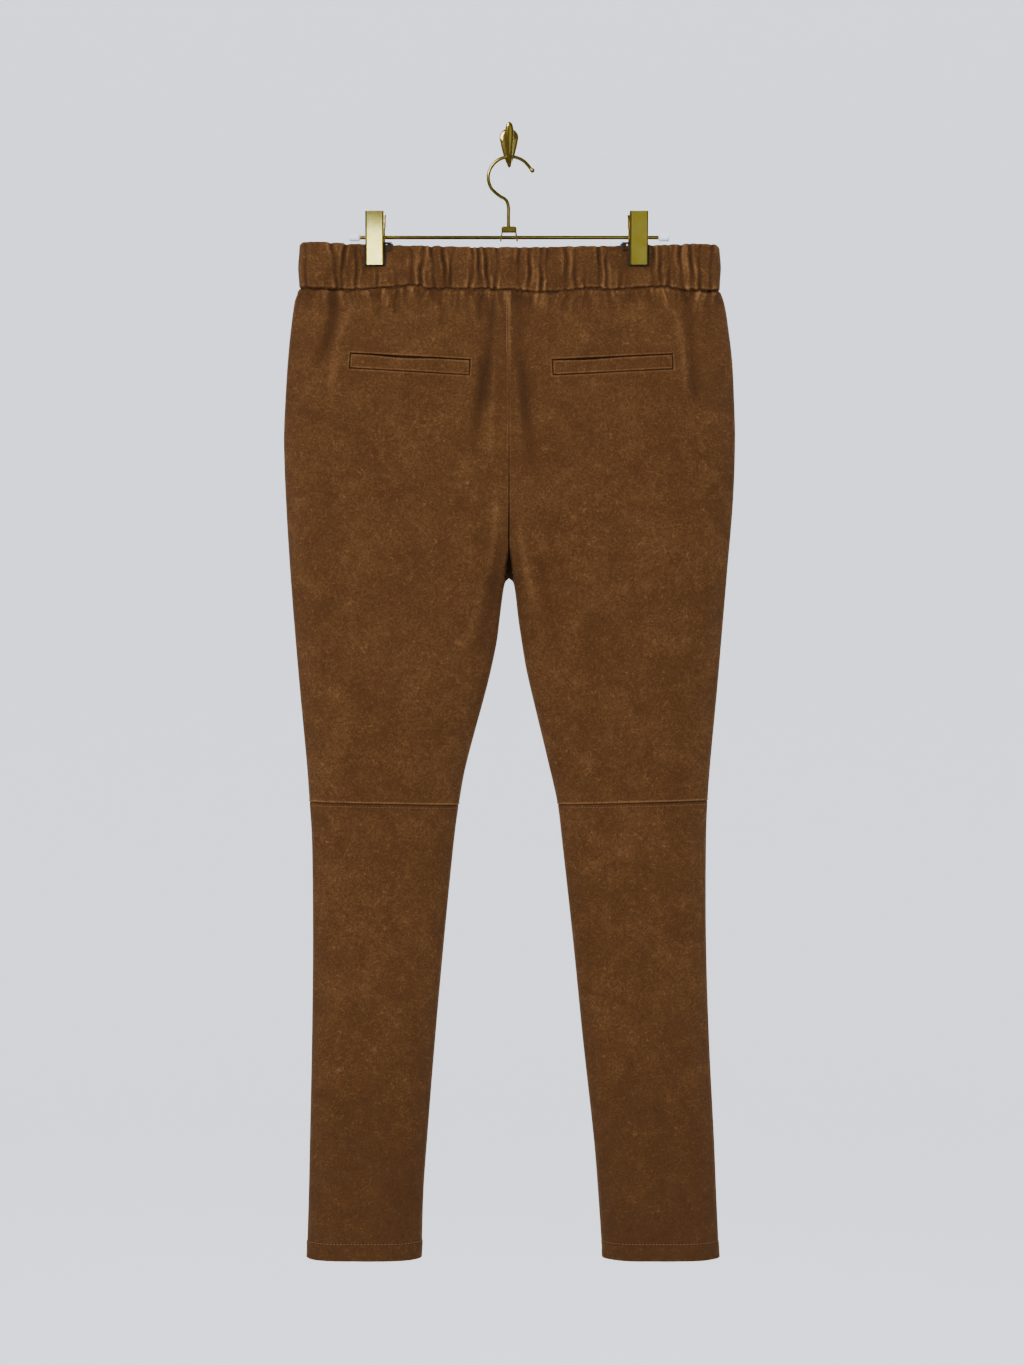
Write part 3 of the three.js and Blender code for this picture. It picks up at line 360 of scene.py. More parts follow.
def spread(start, end, step, places=(), fine=0.4, reach=1.5, round_start=0, round_end=0):
    """Odd number of places from start to end, a step apart.

    They lie close within reach of the given places, and crowd towards a rounded end.
    """
    line = np.linspace(start, end, 8001)
    gap = np.full(line.shape, float(step))
    for place in places:
        gap = np.minimum(gap, fine + 0.3 * np.maximum(np.abs(line - place) - reach, 0))
    for at, run in ((start, round_start), (end, round_end)):
        if run:
            gap = np.minimum(gap, step * np.sqrt(np.abs(line - at) / run) + 0.03)
    count = np.concatenate([[0], np.cumsum(np.abs(np.diff(line)) / gap[1:])])
    total = 2 * math.ceil(count[-1] / 2) + 1
    return np.interp(np.linspace(0, count[-1], total), count, line)


def unevenness(x, z, seed, shortest=22, longest=60):
    """Slight waviness of hanging suede: the sum of ten plane waves, about 1 at most."""
    draw = np.random.default_rng(seed)
    total = 0 * x
    for length, heading, start in zip(
        draw.uniform(shortest, longest, 10),
        draw.uniform(0, 2 * math.pi, 10),
        draw.uniform(0, 2 * math.pi, 10),
    ):
        run = x * math.cos(heading) + z * math.sin(heading)
        total = total + np.sin(2 * math.pi * run / length + start)
    return total / 4


def crease(away, width):
    """The crease of a gather: 1 on its line, nearly gone at half its width."""
    return np.exp(-3.2 * np.abs(away) / width)


def trough(away, width):
    """Profile of a gather: a sharp crease in a soft hollow, with a swell on each side."""
    near = np.abs(away) / width
    swell = bell(near - 1.35, 0.6)
    return 0.75 * crease(away, width) + 0.4 * bell(near, 0.75) - 0.4 * swell


def waist_line(out, x):
    """Height of the waist seam: it wavers, and each gather draws it up."""
    line = along(WAIST_SEAM, "x", "z", x) + 0.5 * unevenness(x, 0 * x, 17 + out, 6, 16)
    for g in each(GATHERS[out]):
        line = line + 0.7 * g["depth"] * bell(x - g["bottom"], 2)
    return line


def rolled(away, radius):
    """How far a rounded edge has turned in at a distance from the edge."""
    inside = np.clip(radius - away, 0, radius)
    return radius - np.sqrt(radius * radius - inside * inside)


def wall_faces(rows, columns):
    """Faces of a closed wall: a fine front grid, a back grid of every second row and column."""
    front = np.arange(rows * columns).reshape(rows, columns)
    few = ((rows + 1) // 2, (columns + 1) // 2)
    back = front.size + np.arange(few[0] * few[1]).reshape(few)

    def quads(grid):
        """Four-sided faces of a grid."""
        corners = (grid[:-1, :-1], grid[:-1, 1:], grid[1:, 1:], grid[1:, :-1])
        return np.stack(corners, -1).reshape(-1, 4)

    def rim(grid):
        """Points round the edge of a grid, in order."""
        return np.concatenate([grid[0, :-1], grid[:-1, -1], grid[-1, :0:-1], grid[:0:-1, 0]])

    fine, coarse = rim(front), rim(back)
    f0, f1, f2 = fine[0::2], fine[1::2], np.roll(fine, -2)[0::2]
    c0, c1 = coarse, np.roll(coarse, -1)
    edge = np.concatenate([np.stack(t, -1) for t in ((f1, f0, c0), (f2, f1, c1), (f1, c0, c1))])
    return quads(front), quads(back)[:, ::-1], edge


def wall(name, face, back, finish, wear_and_painted_highlight, painted_shade):
    """Cloth piece from grids of points in millimetres, with two numbers at each point.

    The first number lightens the colour with wear where the nap has rubbed pale and with painted
    highlight on ridges and edges; the second darkens it with painted shade deep in folds, seams and
    recesses.
    """
    rows, columns = face.shape[:2]
    points = np.concatenate([face.reshape(-1, 3), back[::2, ::2].reshape(-1, 3)])
    front, rear, edge = wall_faces(rows, columns)
    halves = [quads[:, pick] for quads in (front, rear) for pick in ((0, 1, 2), (0, 2, 3))]
    corners = np.concatenate([*halves, edge])
    a, b, c = (points[corners[:, k]] for k in range(3))
    if np.einsum("ij,ij->", a, np.cross(b, c)) < 0:
        front, rear, edge = front[:, ::-1], rear[:, ::-1], edge[:, ::-1]
    made = mesh_object(
        name, points * MM, front.tolist() + rear.tolist() + edge.tolist(), finish, 60
    )
    spare = len(points) - rows * columns
    for label, values in (("wear_and_painted_highlight", wear_and_painted_highlight), ("painted_shade", painted_shade)):
        held = np.concatenate([np.clip(values, -1, 1).ravel(), np.zeros(spare)])
        made.data.attributes.new(label, "FLOAT", "POINT").data.foreach_set("value", held)
    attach(made, "root")
    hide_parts(name)
    return made


# Brushed split leather, called suede: a short curly nap over softly brushed patches. Its colour is
# lightened where it is worn and with painted highlights on ridges and edges, and darkened with
# painted shade in folds, seams, recesses and towards the hem. The nap's real hairs are finer than a
# pixel, so the noise of 1 mm and the curly lines of 4 to 8 mm are as coarse as they need to be to
# show.
suede, tree, shader = material("brown suede")
where = node(tree, "TexCoord").outputs["Object"]
nap, strokes, patches = (
    node(
        tree, "TexNoise",
        {"Scale": scale, "Detail": detail, "Roughness": rough, "Distortion": twist},
        {"Vector": where},
    ).outputs[0]
    for scale, detail, rough, twist in (
        (850, 2.5, 0.65, 1.4), (150, 3, 0.62, 2.6), (30, 4, 0.6, 0.8),
    )
)
# Two values at each point: the first lightens with wear and painted highlight, the second darkens
# with painted shade.
wear_and_painted_highlight_at = node(tree, "Attribute", {"attribute_name": "wear_and_painted_highlight"}).outputs["Fac"]
painted_shade_at = node(tree, "Attribute", {"attribute_name": "painted_shade"}).outputs["Fac"]


def curls(scale, offset, width, rare=0.45):
    """Thin curly lines, 1 on a line: where one noise passes its middle value, with breaks."""
    moved = node(
        tree, "VectorMath", {"operation": "ADD", 1: (offset, 0, offset)}, {0: where}
    ).outputs[0]
    level = node(
        tree, "TexNoise", {"Scale": scale, "Detail": 1, "Distortion": 1.2}, {"Vector": moved}
    ).outputs[0]
    gate = node(tree, "TexNoise", {"Scale": scale * 1.3, "Detail": 1}, {"Vector": moved}).outputs[0]
    beyond = node(tree, "Math", {"operation": "SUBTRACT", 1: 0.5}, {0: level}).outputs[0]
    away = node(tree, "Math", {"operation": "ABSOLUTE"}, {0: beyond}).outputs[0]
    line = node(tree, "MapRange", {1: 0, 2: width, 3: 1, 4: 0}, {0: away}).outputs[0]
    part = node(tree, "MapRange", {1: rare, 2: rare + 0.12, 3: 0, 4: 1}, {0: gate}).outputs[0]
    return node(tree, "Math", {"operation": "MULTIPLY"}, {0: line, 1: part}).outputs[0]


def layered(base, layers):
    """A base value plus layers: each pattern's range, low to high, adds from least to most."""
    total = None
    for pattern, low, high, least, most in layers:
        part = node(tree, "MapRange", {1: low, 2: high, 3: least, 4: most}, {0: pattern})
        plus = {1: base} if total is None else {}
        links = {0: part.outputs[0]} if total is None else {0: part.outputs[0], 1: total}
        total = node(tree, "Math", {"operation": "ADD", **plus}, links).outputs[0]
    return total


pale_curls = curls(250, 0.7, 0.045)
dark_curls = curls(230, 3.1, 0.05)
brushed = curls(120, 5.3, 0.03, 0.52)
# The nap, strokes, patches and curls are the suede's own colour; the last two layers add wear and
# painted highlight, and take away for painted shade.
tone = layered(0.515, [
    (nap, 0.3, 0.7, -0.075, 0.075), (strokes, 0.3, 0.7, -0.085, 0.085),
    (patches, 0.3, 0.7, -0.055, 0.055), (pale_curls, 0, 1, 0, 0.11), (brushed, 0, 1, 0, 0.17),
    (dark_curls, 0, 1, 0, -0.1), (wear_and_painted_highlight_at, 0, 1, 0, 0.34), (painted_shade_at, 0, 1, 0, -0.3),
])
ramp = node(tree, "ValToRGB", links={0: tone})
ramp.color_ramp.elements[0].color = linear("150b04")
ramp.color_ramp.elements[1].color = linear("74522f")
ramp.color_ramp.elements.new(0.5).color = linear("41270e")
tree.links.new(ramp.outputs[0], shader.inputs["Base Color"])
shader.inputs["Roughness"].default_value = 0.95
shader.inputs["Specular IOR Level"].default_value = 0.15
shader.inputs["Sheen Weight"].default_value = 0.18
shader.inputs["Sheen Roughness"].default_value = 0.45
shader.inputs["Sheen Tint"].default_value = linear("c79a6c")
grain = layered(0, [(nap, 0, 1, 0, 0.6), (strokes, 0, 1, 0, 1), (pale_curls, 0, 1, 0, 0.3)])
bump = node(tree, "Bump", {"Strength": 0.48, "Distance": 0.0006}, {"Height": grain})
tree.links.new(bump.outputs[0], shader.inputs["Normal"])


def band(side, out):
    """One quarter of the waistband.

    The flattened oval is moved in along each gather and beside it a little out, and drawn in
    where the stitches of the waist seam hold it. Its upper edge is rounded over the elastic.
    """
    width = abs(along(SIDES, "z", side, -121.0))
    step = 0.75 if out == BACK else 1.4
    across = spread(0, width, step, round_start=16, round_end=3) / width
    places = (0, BAND_HEIGHT)
    rise = spread(0, BAND_HEIGHT, 1.5, places=places, fine=0.35, reach=1.2) / BAND_HEIGHT
    share, rise = np.meshgrid(across, rise)
    level = mix(WAIST_LEVEL, BAND_TOP_LEVEL, rise)
    x = mix(along(SIDES, "z", side, level), 0, share)
    seam = waist_line(out, x) + SEAM_GAP / 2
    top = along(BAND_TOP, "x", "z", x) - 2.2 * np.maximum(1 - share / 0.02, 0) ** 2
    fade = smooth(share / 0.04)
    sink, crimp, painted_crease_shade = 0 * x, 0 * x, 0 * x
    for k, g in enumerate(each(GATHERS[out])):
        bow = 1.7 * math.sin(2.4 * k) * np.sin(math.pi * rise)
        away = x - (mix(g["bottom"], g["top"], rise) + bow + 0.5 * np.sin(11 * rise + k))
        low_only = smooth((0.65 - rise) / 0.4) if g["low"] else 1
        deep = g["depth"] * low_only * (0.85 + 0.4 * np.sin(5 * rise + 1.9 * k))
        sink = sink + deep * trough(away, g["width"])
        crimp = crimp + deep * bell(away, 2)
        painted_crease_shade = painted_crease_shade + deep * crease(away, g["width"])
    above = level - WAIST_LEVEL
    puckers = unevenness(x, 0.2 * level, 41 + out, 4.5, 9) * smooth((12 - above) / 11)
    lean = x + 5 * np.sin(level / 11 + 0.06 * x)
    crinkles = 0.8 - np.abs(unevenness(lean, 0.4 * level, 5 + out, 9, 26))
    crinkles = np.clip(crinkles, 0, 1) ** 3
    sink = sink + 0.4 * puckers + 0.22 * unevenness(x, level, 7 + out) + 0.65 * crinkles
    top = top - 0.6 * crimp + 0.35 * unevenness(x, 0 * x, 11 + out, 5, 14) * (rise > 0.5)
    z = mix(seam, top, rise)
    face = form(side, out, share, z, BAND_ROUND)
    facing = outward(side, out, share, z, BAND_ROUND)
    facing[..., 2] = 0
    facing /= np.linalg.norm(facing, axis=-1, keepdims=True)
    drawn = 1.5 * np.exp(-(((z - seam) / 1.1) ** 1.5))
    lift = -np.clip(sink, -0.8, 2) * fade - drawn
    radius = BAND_CLOTH / 2 - 0.05
    edge = rolled(top - z, radius)
    outer = face + facing * np.maximum(lift - edge, -radius)[..., None]
    inner = face - facing * (BAND_CLOTH - edge)[..., None]
    # Painted shade in the gathers' creases and troughs, the puckers and the waist seam; painted
    # highlight, with wear, on the gathers' ridges, in a line above the seam and along the top fold.
    painted_shade = 0.2 * np.clip(sink, 0, 2) + 0.5 * painted_crease_shade + 0.6 * drawn
    wear_and_painted_highlight = 0.3 * bell(z - seam - 2.4, 1.2) + 0.2 * np.exp(-((top - z) / 1.5))
    wear_and_painted_highlight = wear_and_painted_highlight + 0.85 * np.clip(-sink - 0.05, 0, 1)
    name = f"waistband_{FACE_NAME[out]}_{side}"
    outer, inner = (off_seams(points, side, out, z) for points in (outer, inner))
    return wall(name, outer, inner, suede, wear_and_painted_highlight, painted_shade)


for side in SIGN:
    for out, jaw in ((BACK, "outer"), (FRONT, "wall")):
        quarter = band(side, out)

# ---------------------------------------------------------------- panels of the seat and thighs
# Each is one piece of suede from the waist seam to the knee seam. Folds run down from the
# gathers, and round the pocket bags and the fork. The seat's panels have a window for a welt.
CLOTH = 1.6
FOLD_ROUND = 3.5
# Level of the knee seam, its height at the side seam and at the inseam, and how far above and
# below a slanted or wavy seam the rows of points follow it.
KNEE_LEVEL = -657
KNEE = {"left": (-655.5, -658.6), "right": (-654, -658)}
KNEE_WIDTH = 147
SEAM_RUN = 40
HEM_HEIGHT = 17
HEM_BOTTOM = -1110.5
# Each pocket: middle of the welt's top edge across and up, and its tilt in degrees. The window
# is larger than the welt by a gap, and by the open mouth above it.
POCKETS = {"left": (-97.9, -213.6, -3.3), "right": (102.4, -214.1, 3.0)}
WELT_LENGTH = 118.5
WELT_HEIGHT = 14.4
WELT_GAP = 0.45
MOUTH = 0.7
WINDOW_DEPTH = 2.6
# The cleft between the thighs: where it starts, half its width at the fork, and how far its
# floor lies from the middle plane.
CLEFT = {"top": -403, "half": 4.7, "floor": 2.2}
# How far the allowances inside a seam push the cloth out beside it.
EDGE_FULL = 1.2
# Folds: three points of the line, depth (below 0 for a ridge), half width, and 1 where the
# fold starts in the waist seam.
SEAT_FOLDS = table("ax az bx bz cx cz depth width open", [
    (-174.5, -146, -178.5, -190, -196, -232, 2.6, 5, 1),
    (-147.5, -148, -171, -205, -176.5, -286, -1.1, 4, 0),
    (-15.5, -146, -21.5, -230, -37.5, -300, 1.7, 5, 1),
    (-19.5, -200, -22.8, -236, -27, -270, 0.8, 3.2, 0),
    (-24, -200, -28.5, -252, -36, -330, 1.5, 5, 0),
    (12, -205, 16.5, -258, 24, -330, 1.3, 4, 0), (6.5, -215, 9, -262, 13, -330, -0.7, 3, 0),
    (-14.2, -170, -16.5, -245, -20, -335, -1.0, 3, 0),
    (10, -147, 14, -240, 27, -356, 1.3, 6, 1),
    (157.5, -157, 173, -205, 174, -282, -1.1, 4, 0),
    (176.4, -147, 181.5, -212, 189.3, -298, 1.8, 5, 1),
    (-128, -147, -131, -162, -133, -180, 1.3, 3, 1),
    (-114, -145, -113, -160, -114, -178, 1.3, 3, 1),
    (-74.3, -146, -69, -160, -61, -174, 1.1, 3, 1),
    (-28.7, -150, -28.9, -166, -28.7, -182, 1.6, 3, 0),
    (20, -150, 18.5, -158, 16.5, -168, 1.0, 3, 1),
    (39.7, -150, 37.5, -160, 35, -170, -0.7, 2.5, 0),
    (126.9, -143, 128.5, -152, 130, -162, 1.1, 3, 1),
    (200, -147, 207, -155, 214, -165, 1.4, 4, 1),
    (164.5, -183, 176, -186, 188, -188, -0.6, 1.8, 0),
    (42, -201, 60, -200, 80, -198, -0.5, 1.6, 0),
    (-13, -335, -15.3, -396, -25.1, -448, -1.2, 3.6, 0),
    (-22, -425, -33, -470, -48, -520, -0.6, 3.5, 0),
    (-7, -385, -17, -450, -38, -535, 1.3, 6, 0),
    (9, -370, 17, -425, 32, -480, -1.2, 3.6, 0),
    (26, -400, 36, -450, 44, -500, 1.1, 6, 0),
    (34, -586, 42, -598, 50, -610, -0.4, 2.5, 0),
    (-127, -149, -131, -160, -136, -172, -0.9, 1.8, 0),
    (-117, -149, -121, -158, -127, -168, -0.8, 1.8, 0),
    (-92.6, -146, -90, -151, -87.5, -162, 1.6, 1.6, 1),
    (-80, -146, -77, -152, -73, -163, 1.3, 1.6, 1),
    (-64, -146, -63, -152, -60, -160, 1.0, 1.5, 1),
    (-45, -148, -40, -152, -34, -158, -0.8, 1.6, 0),
    (55.5, -149, 51, -157, 47, -170, -0.9, 1.8, 0),
    (82, -145, 80.5, -151, 78, -160, 1.2, 1.6, 1),
    (109, -146, 107.5, -152, 105, -162, 1.1, 1.6, 1),
    (134, -145, 133, -152, 131, -162, -0.8, 1.6, 0),
    (147, -144, 149, -150, 152, -160, 1.0, 1.6, 1),
])
FRONT_FOLDS = table("ax az bx bz cx cz depth width open", [
    (-172, -146, -182, -200, -196, -262, 2.2, 6, 1),
    (-92, -146, -84, -190, -70, -236, 1.6, 5, 1),
    (-14, -146, -18, -230, -34, -330, 2.2, 6, 1),
    (18, -146, 20, -220, 32, -318, 2.0, 6, 1),
    (88, -146, 80, -196, 72, -250, 1.6, 5, 1),
    (170, -146, 182, -204, 192, -280, 2.0, 6, 1),
    (-11, -360, -20, -415, -36, -470, -1.0, 4, 0),
    (12, -365, 22, -420, 38, -480, -1.0, 4, 0),
    (-30, -560, -80, -600, -130, -622, 0.6, 7, 0),
    (36, -570, 88, -604, 140, -630, 0.6, 7, 0),
])
FOLDS = {BACK: SEAT_FOLDS, FRONT: FRONT_FOLDS}


def fold_sink(rows, x, z):
    """Depth of all folds at each place.

    A fold is a soft trough round a bent line of 16 short stretches, faded towards its ends.
    """
    total = 0 * x
    t = np.linspace(0, 1, 17)
    for f in each(rows):
        line = [
            (1 - t) * (1 - 2 * t) * f["a" + k] + 4 * t * (1 - t) * f["b" + k]
            + t * (2 * t - 1) * f["c" + k] for k in "xz"
        ]
        margin = 3 * f["width"]
        near = (x > line[0].min() - margin) & (x < line[0].max() + margin)
        near &= (z > line[1].min() - margin) & (z < line[1].max() + margin)
        px, pz = x[near][:, None], z[near][:, None]
        dx, dz = np.diff(line[0]), np.diff(line[1])
        s = ((px - line[0][:-1]) * dx + (pz - line[1][:-1]) * dz) / (dx * dx + dz * dz)
        s = np.clip(s, 0, 1)
        away = np.hypot(px - line[0][:-1] - s * dx, pz - line[1][:-1] - s * dz)
        nearest = away.argmin(1)[:, None]
        at = (nearest + np.take_along_axis(s, nearest, 1))[:, 0] / 16
        fade = smooth((1 - at) / 0.4) * (1 if f["open"] else smooth(at / 0.25))
        total[near] += f["depth"] * fade * bell(away.min(1), f["width"])
    return total


def face_sink(out, x, z):
    """Sink of a panel's face: the folds and what runs on from the gathers, and slow waves."""
    below = waist_line(out, x) - z
    sink = 0 * x
    for g in each(GATHERS[out]):
        if g["reach"]:
            fade = smooth(1 - below / g["reach"])
            sink = sink + g["depth"] * fade * trough(x - g["bottom"], g["width"])
    sink = sink + fold_sink(FOLDS[out], x, z)
    waves = 0.3 * unevenness(x, z, 3 + out, 24, 60)
    return sink, waves + 0.5 * unevenness(x, z, 23 + out, 70, 160) * smooth(below / 40)


def in_window(side, x, z):
    """Place in a pocket's window: along it from its middle, and down from the welt's top edge."""
    middle, top, tilt = POCKETS[side]
    c, s = math.cos(math.radians(tilt)), math.sin(math.radians(tilt))
    return (x - middle) * c + (z - top) * s, (x - middle) * s - (z - top) * c


def from_window(side, run, drop):
    """Place across and up of a place in a pocket's window, the other way round."""
    middle, top, tilt = POCKETS[side]
    c, s = math.cos(math.radians(tilt)), math.sin(math.radians(tilt))
    return middle + run * c + drop * s, top + run * s - drop * c


def inner_edge(side, z):
    """Centre seam above the fork, inseam below it."""
    return np.where(z >= FORK, 0, along(INSEAMS, "z", side, z))


def panel_level(side, out, share, level):
    """Height of each point of a panel whose row has a level, between slanted or wavy seams."""
    x = mix(along(SIDES, "z", side, level), inner_edge(side, level), share)
    upper = level[0, 0] > KNEE_LEVEL
    waist = waist_line(out, x) - SEAM_GAP / 2 - WAIST_LEVEL
    knee = mix(*KNEE[side], share) - KNEE_LEVEL + (SEAM_GAP / 2 if upper else -SEAM_GAP / 2)
    z = level + waist * np.maximum(1 - (WAIST_LEVEL - level) / SEAM_RUN, 0)
    z = z + knee * np.maximum(1 - np.abs(level - KNEE_LEVEL) / SEAM_RUN, 0)
    if out == BACK:
        middle, top, tilt = POCKETS[side]
        beside = smooth((46 - np.abs(level - top + WELT_HEIGHT / 2)) / 28)
        z = z + math.tan(math.radians(tilt)) * np.clip(x - middle, -70, 70) * beside
    return z


def cleft_sink(out, x, z, face):
    """Sink of the narrow cleft above the fork, and how strongly painted shade darkens its floor, 1
    on it.

    It opens below a height like a wedge and its floor lies near the middle plane.
    """
    down = np.clip((CLEFT["top"] - z) / (CLEFT["top"] - FORK), 0, 1)
    half = CLEFT["half"] * down**0.8
    # Painted shade on the cleft's floor, where the thighs shut out the light.
    floor = smooth((half + 0.5 - np.abs(x)) / 1.1) * smooth((CLEFT["top"] - z) / 3)
    depth = np.maximum((face[..., 1] - HANG_Y) * out - CLEFT["floor"], 0)
    return floor * depth, floor


def below_waist(out, x, z, face):
    """Lift, sink, wear with painted highlight, and painted shade of an upper panel: what its waist
    and centre seams do.

    Stitches draw it in at the waist seam, and under them it puckers and wrinkles. The centre
    seam is a groove that deepens down to the cleft.
    """
    below = waist_line(out, x) - z
    drawn = np.exp(-(np.maximum(below / 1.2, 0) ** 1.5))
    pucker = unevenness(x, 0.16 * z, 41 + out, 6, 14) * (bell(below, 9) + 0.6 * bell(below, 24))
    slant = x + 0.35 * below * np.sin(x / 23 + out)
    wrinkle, beside = (
        np.clip(0.8 - 1.6 * np.abs(unevenness(slant + aside, 0.1 * z, 83 + out, 7, 22)), 0, 1)
        * bell(below, 17) for aside in (0, 1.8)
    )
    middle = bell(x, 0.7) * (z > FORK)
    deepening = smooth((-240 - z) / 160)
    cleft, floor = cleft_sink(out, x, z, face)
    # Then painted highlight on the puckers' ridges, beside each wrinkle and a little under the
    # waist seam, and painted shade in the waist seam, the puckers and wrinkles, the centre seam's
    # groove and on the cleft's floor.
    return (
        -1.4 * drawn - 0.8 * pucker - 1.4 * wrinkle - (0.45 + 0.5 * deepening) * middle,
        cleft,
        0.5 * np.clip(-pucker, 0, 1) * (1 - wrinkle) + 0.6 * np.clip(beside - wrinkle, 0, 1)
        + 0.2 * bell(below - 3.5, 1.5),
        0.9 * drawn + 0.25 * np.clip(pucker, 0, 1) + 0.6 * wrinkle + deepening * middle
        + 1.6 * floor,
    )


def lower_leg(x, z, below):
    """Lift, wear with painted highlight, and painted shade of a lower panel: what its knee seam and
    hem do.

    It is drawn in and stitched at the knee seam, and thicker up to the stitches of the hem.
    """
    stitch = bell(below - 3.2, 0.5)
    above = z - HEM_BOTTOM
    hem_stitch = bell(above - HEM_HEIGHT, 0.6)
    # Painted highlight, with wear, on the hem's turned edge; painted shade in the knee seam and
    # along both rows of stitches.
    return (
        -0.7 * bell(below, 1) - 0.22 * stitch + 0.5 * smooth((HEM_HEIGHT + 1 - above) / 2)
        - 0.35 * hem_stitch + 0.25 * unevenness(x, z, 61, 8, 22) * smooth((24 - above) / 8),
        0.3 * np.exp(-above / 1.2),
        0.9 * bell(below, 1.1) + 0.25 * stitch + 0.55 * hem_stitch,
    )


def panel(side, out, share, level):
    """Outer and inner points of a panel, and at each point its wear with painted highlight and its
    painted shade.

    The form's face is moved in by the folds, in at the seams, in to the pocket bag under a
    welt, and out along lips, ridges and the turned-up hem.
    """
    z = panel_level(side, out, share, level)
    upper = level[0, 0] > KNEE_LEVEL
    knee = mix(*KNEE[side], share)
    face = form(side, out, share, z, FOLD_ROUND)
    facing = outward(side, out, share, z, FOLD_ROUND)
    facing[[0, -1], :, 2] = 0
    facing /= np.linalg.norm(facing, axis=-1, keepdims=True)
    x = face[..., 0]
    from_middle = face[..., 1] - HANG_Y
    fade = smooth(share / 0.04) * smooth((1 - share) / 0.01)
    folds, waves = face_sink(out, x, z)
    width = np.abs(along(SIDES, "z", side, z) - inner_edge(side, z))
    from_edge = width * np.where(z < FORK, np.minimum(share, 1 - share), share)
    lift, sink = EDGE_FULL * bell(from_edge, 4), (folds + waves) * fade
    # Painted shade in the folds, along the seams on the middle plane, and growing towards the hem
    # where less light falls; painted highlight on the folds' ridges and in a line beside each seam.
    painted_shade = 0.2 * np.clip(folds, 0, 3) * fade + 0.27 * smooth((-780 - z) / 320)
    painted_shade = painted_shade + 0.5 * bell(from_middle, 1.2)
    wear_and_painted_highlight = 0.26 * np.clip(-folds * fade, 0, 1.2) + 0.35 * bell(np.abs(from_middle) - 3, 1.2)
    if upper:
        more_lift, more_sink, more_wear_and_painted_highlight, more_painted_shade = below_waist(out, x, z, face)
        # The knee seam's ridge is lifted and gets a painted highlight.
        ridge = bell(z - knee - 1.1, 0.8)
        lift = lift + more_lift + 0.55 * ridge - rolled(z - knee, 0.7)
        sink, painted_shade = sink + more_sink, painted_shade + more_painted_shade
        wear_and_painted_highlight = wear_and_painted_highlight + more_wear_and_painted_highlight + 0.8 * ridge
    else:
        more_lift, more_wear_and_painted_highlight, more_painted_shade = lower_leg(x, z, knee - z)
        lift, wear_and_painted_highlight, painted_shade = lift + more_lift, wear_and_painted_highlight + more_wear_and_painted_highlight, painted_shade + more_painted_shade
    pucker = unevenness(x, 0.4 * z, 57 + out, 5, 12) * bell(np.abs(z - knee), 5)
    lift = lift + 0.22 * pucker * fade
    if upper and out == BACK:
        run, drop = in_window(side, x, z)
        past_end = np.abs(run) - (WELT_LENGTH / 2 + WELT_GAP)
        past_edge = np.maximum(-MOUTH - drop, drop - WELT_HEIGHT - WELT_GAP)
        beyond = np.maximum(past_end, past_edge)
        inside = smooth(0.5 - beyond / 0.5)
        lip = bell(beyond - 1, 0.8) * (1 - inside)
        lift, sink = lift + 0.3 * lip, sink + WINDOW_DEPTH * inside
        # Painted shade fills the window and rims it; painted highlight runs along its lip, beside
        # the centre seam and down the seam's top.
        painted_shade = mix(painted_shade, 1, inside) + 0.7 * bell(beyond, 0.6)
        highlight_beside_seam = bell(np.abs(x) - 1.3, 0.6) * (z > CLEFT["top"])
        wear_and_painted_highlight = wear_and_painted_highlight + 0.5 * lip + 0.3 * highlight_beside_seam + 0.5 * bell(x, 0.9) * smooth((z + 250) / 60)
    thickness = CLOTH
    if not upper:
        edge = rolled(z - HEM_BOTTOM, 0.95)
        lift, thickness = lift - edge, CLOTH - 0.75 * edge
    moved = facing * lift[..., None]
    ends = (share == 0) | ((share == 1) & (z < FORK))
    moved[ends, 1] = 0
    sunk = np.zeros_like(face)
    sunk[..., 1] = -out * sink
    outer = off_seams(face + moved + sunk, side, out, z)
    inner = off_seams(face - facing * np.asarray(thickness)[..., None] + sunk, side, out, z)
    return outer, inner, wear_and_painted_highlight, painted_shade


def on_seat(side, x, z):
    """Points of the seat's face, folds and all, at places along and up, and their facing."""
    outer = along(SIDES, "z", side, z)
    share = (x - outer) / (inner_edge(side, z) - outer)
    points = form(side, BACK, share, z, FOLD_ROUND)
    points[..., 1] += sum(face_sink(BACK, x, z))
    return points, outward(side, BACK, share, z, FOLD_ROUND)


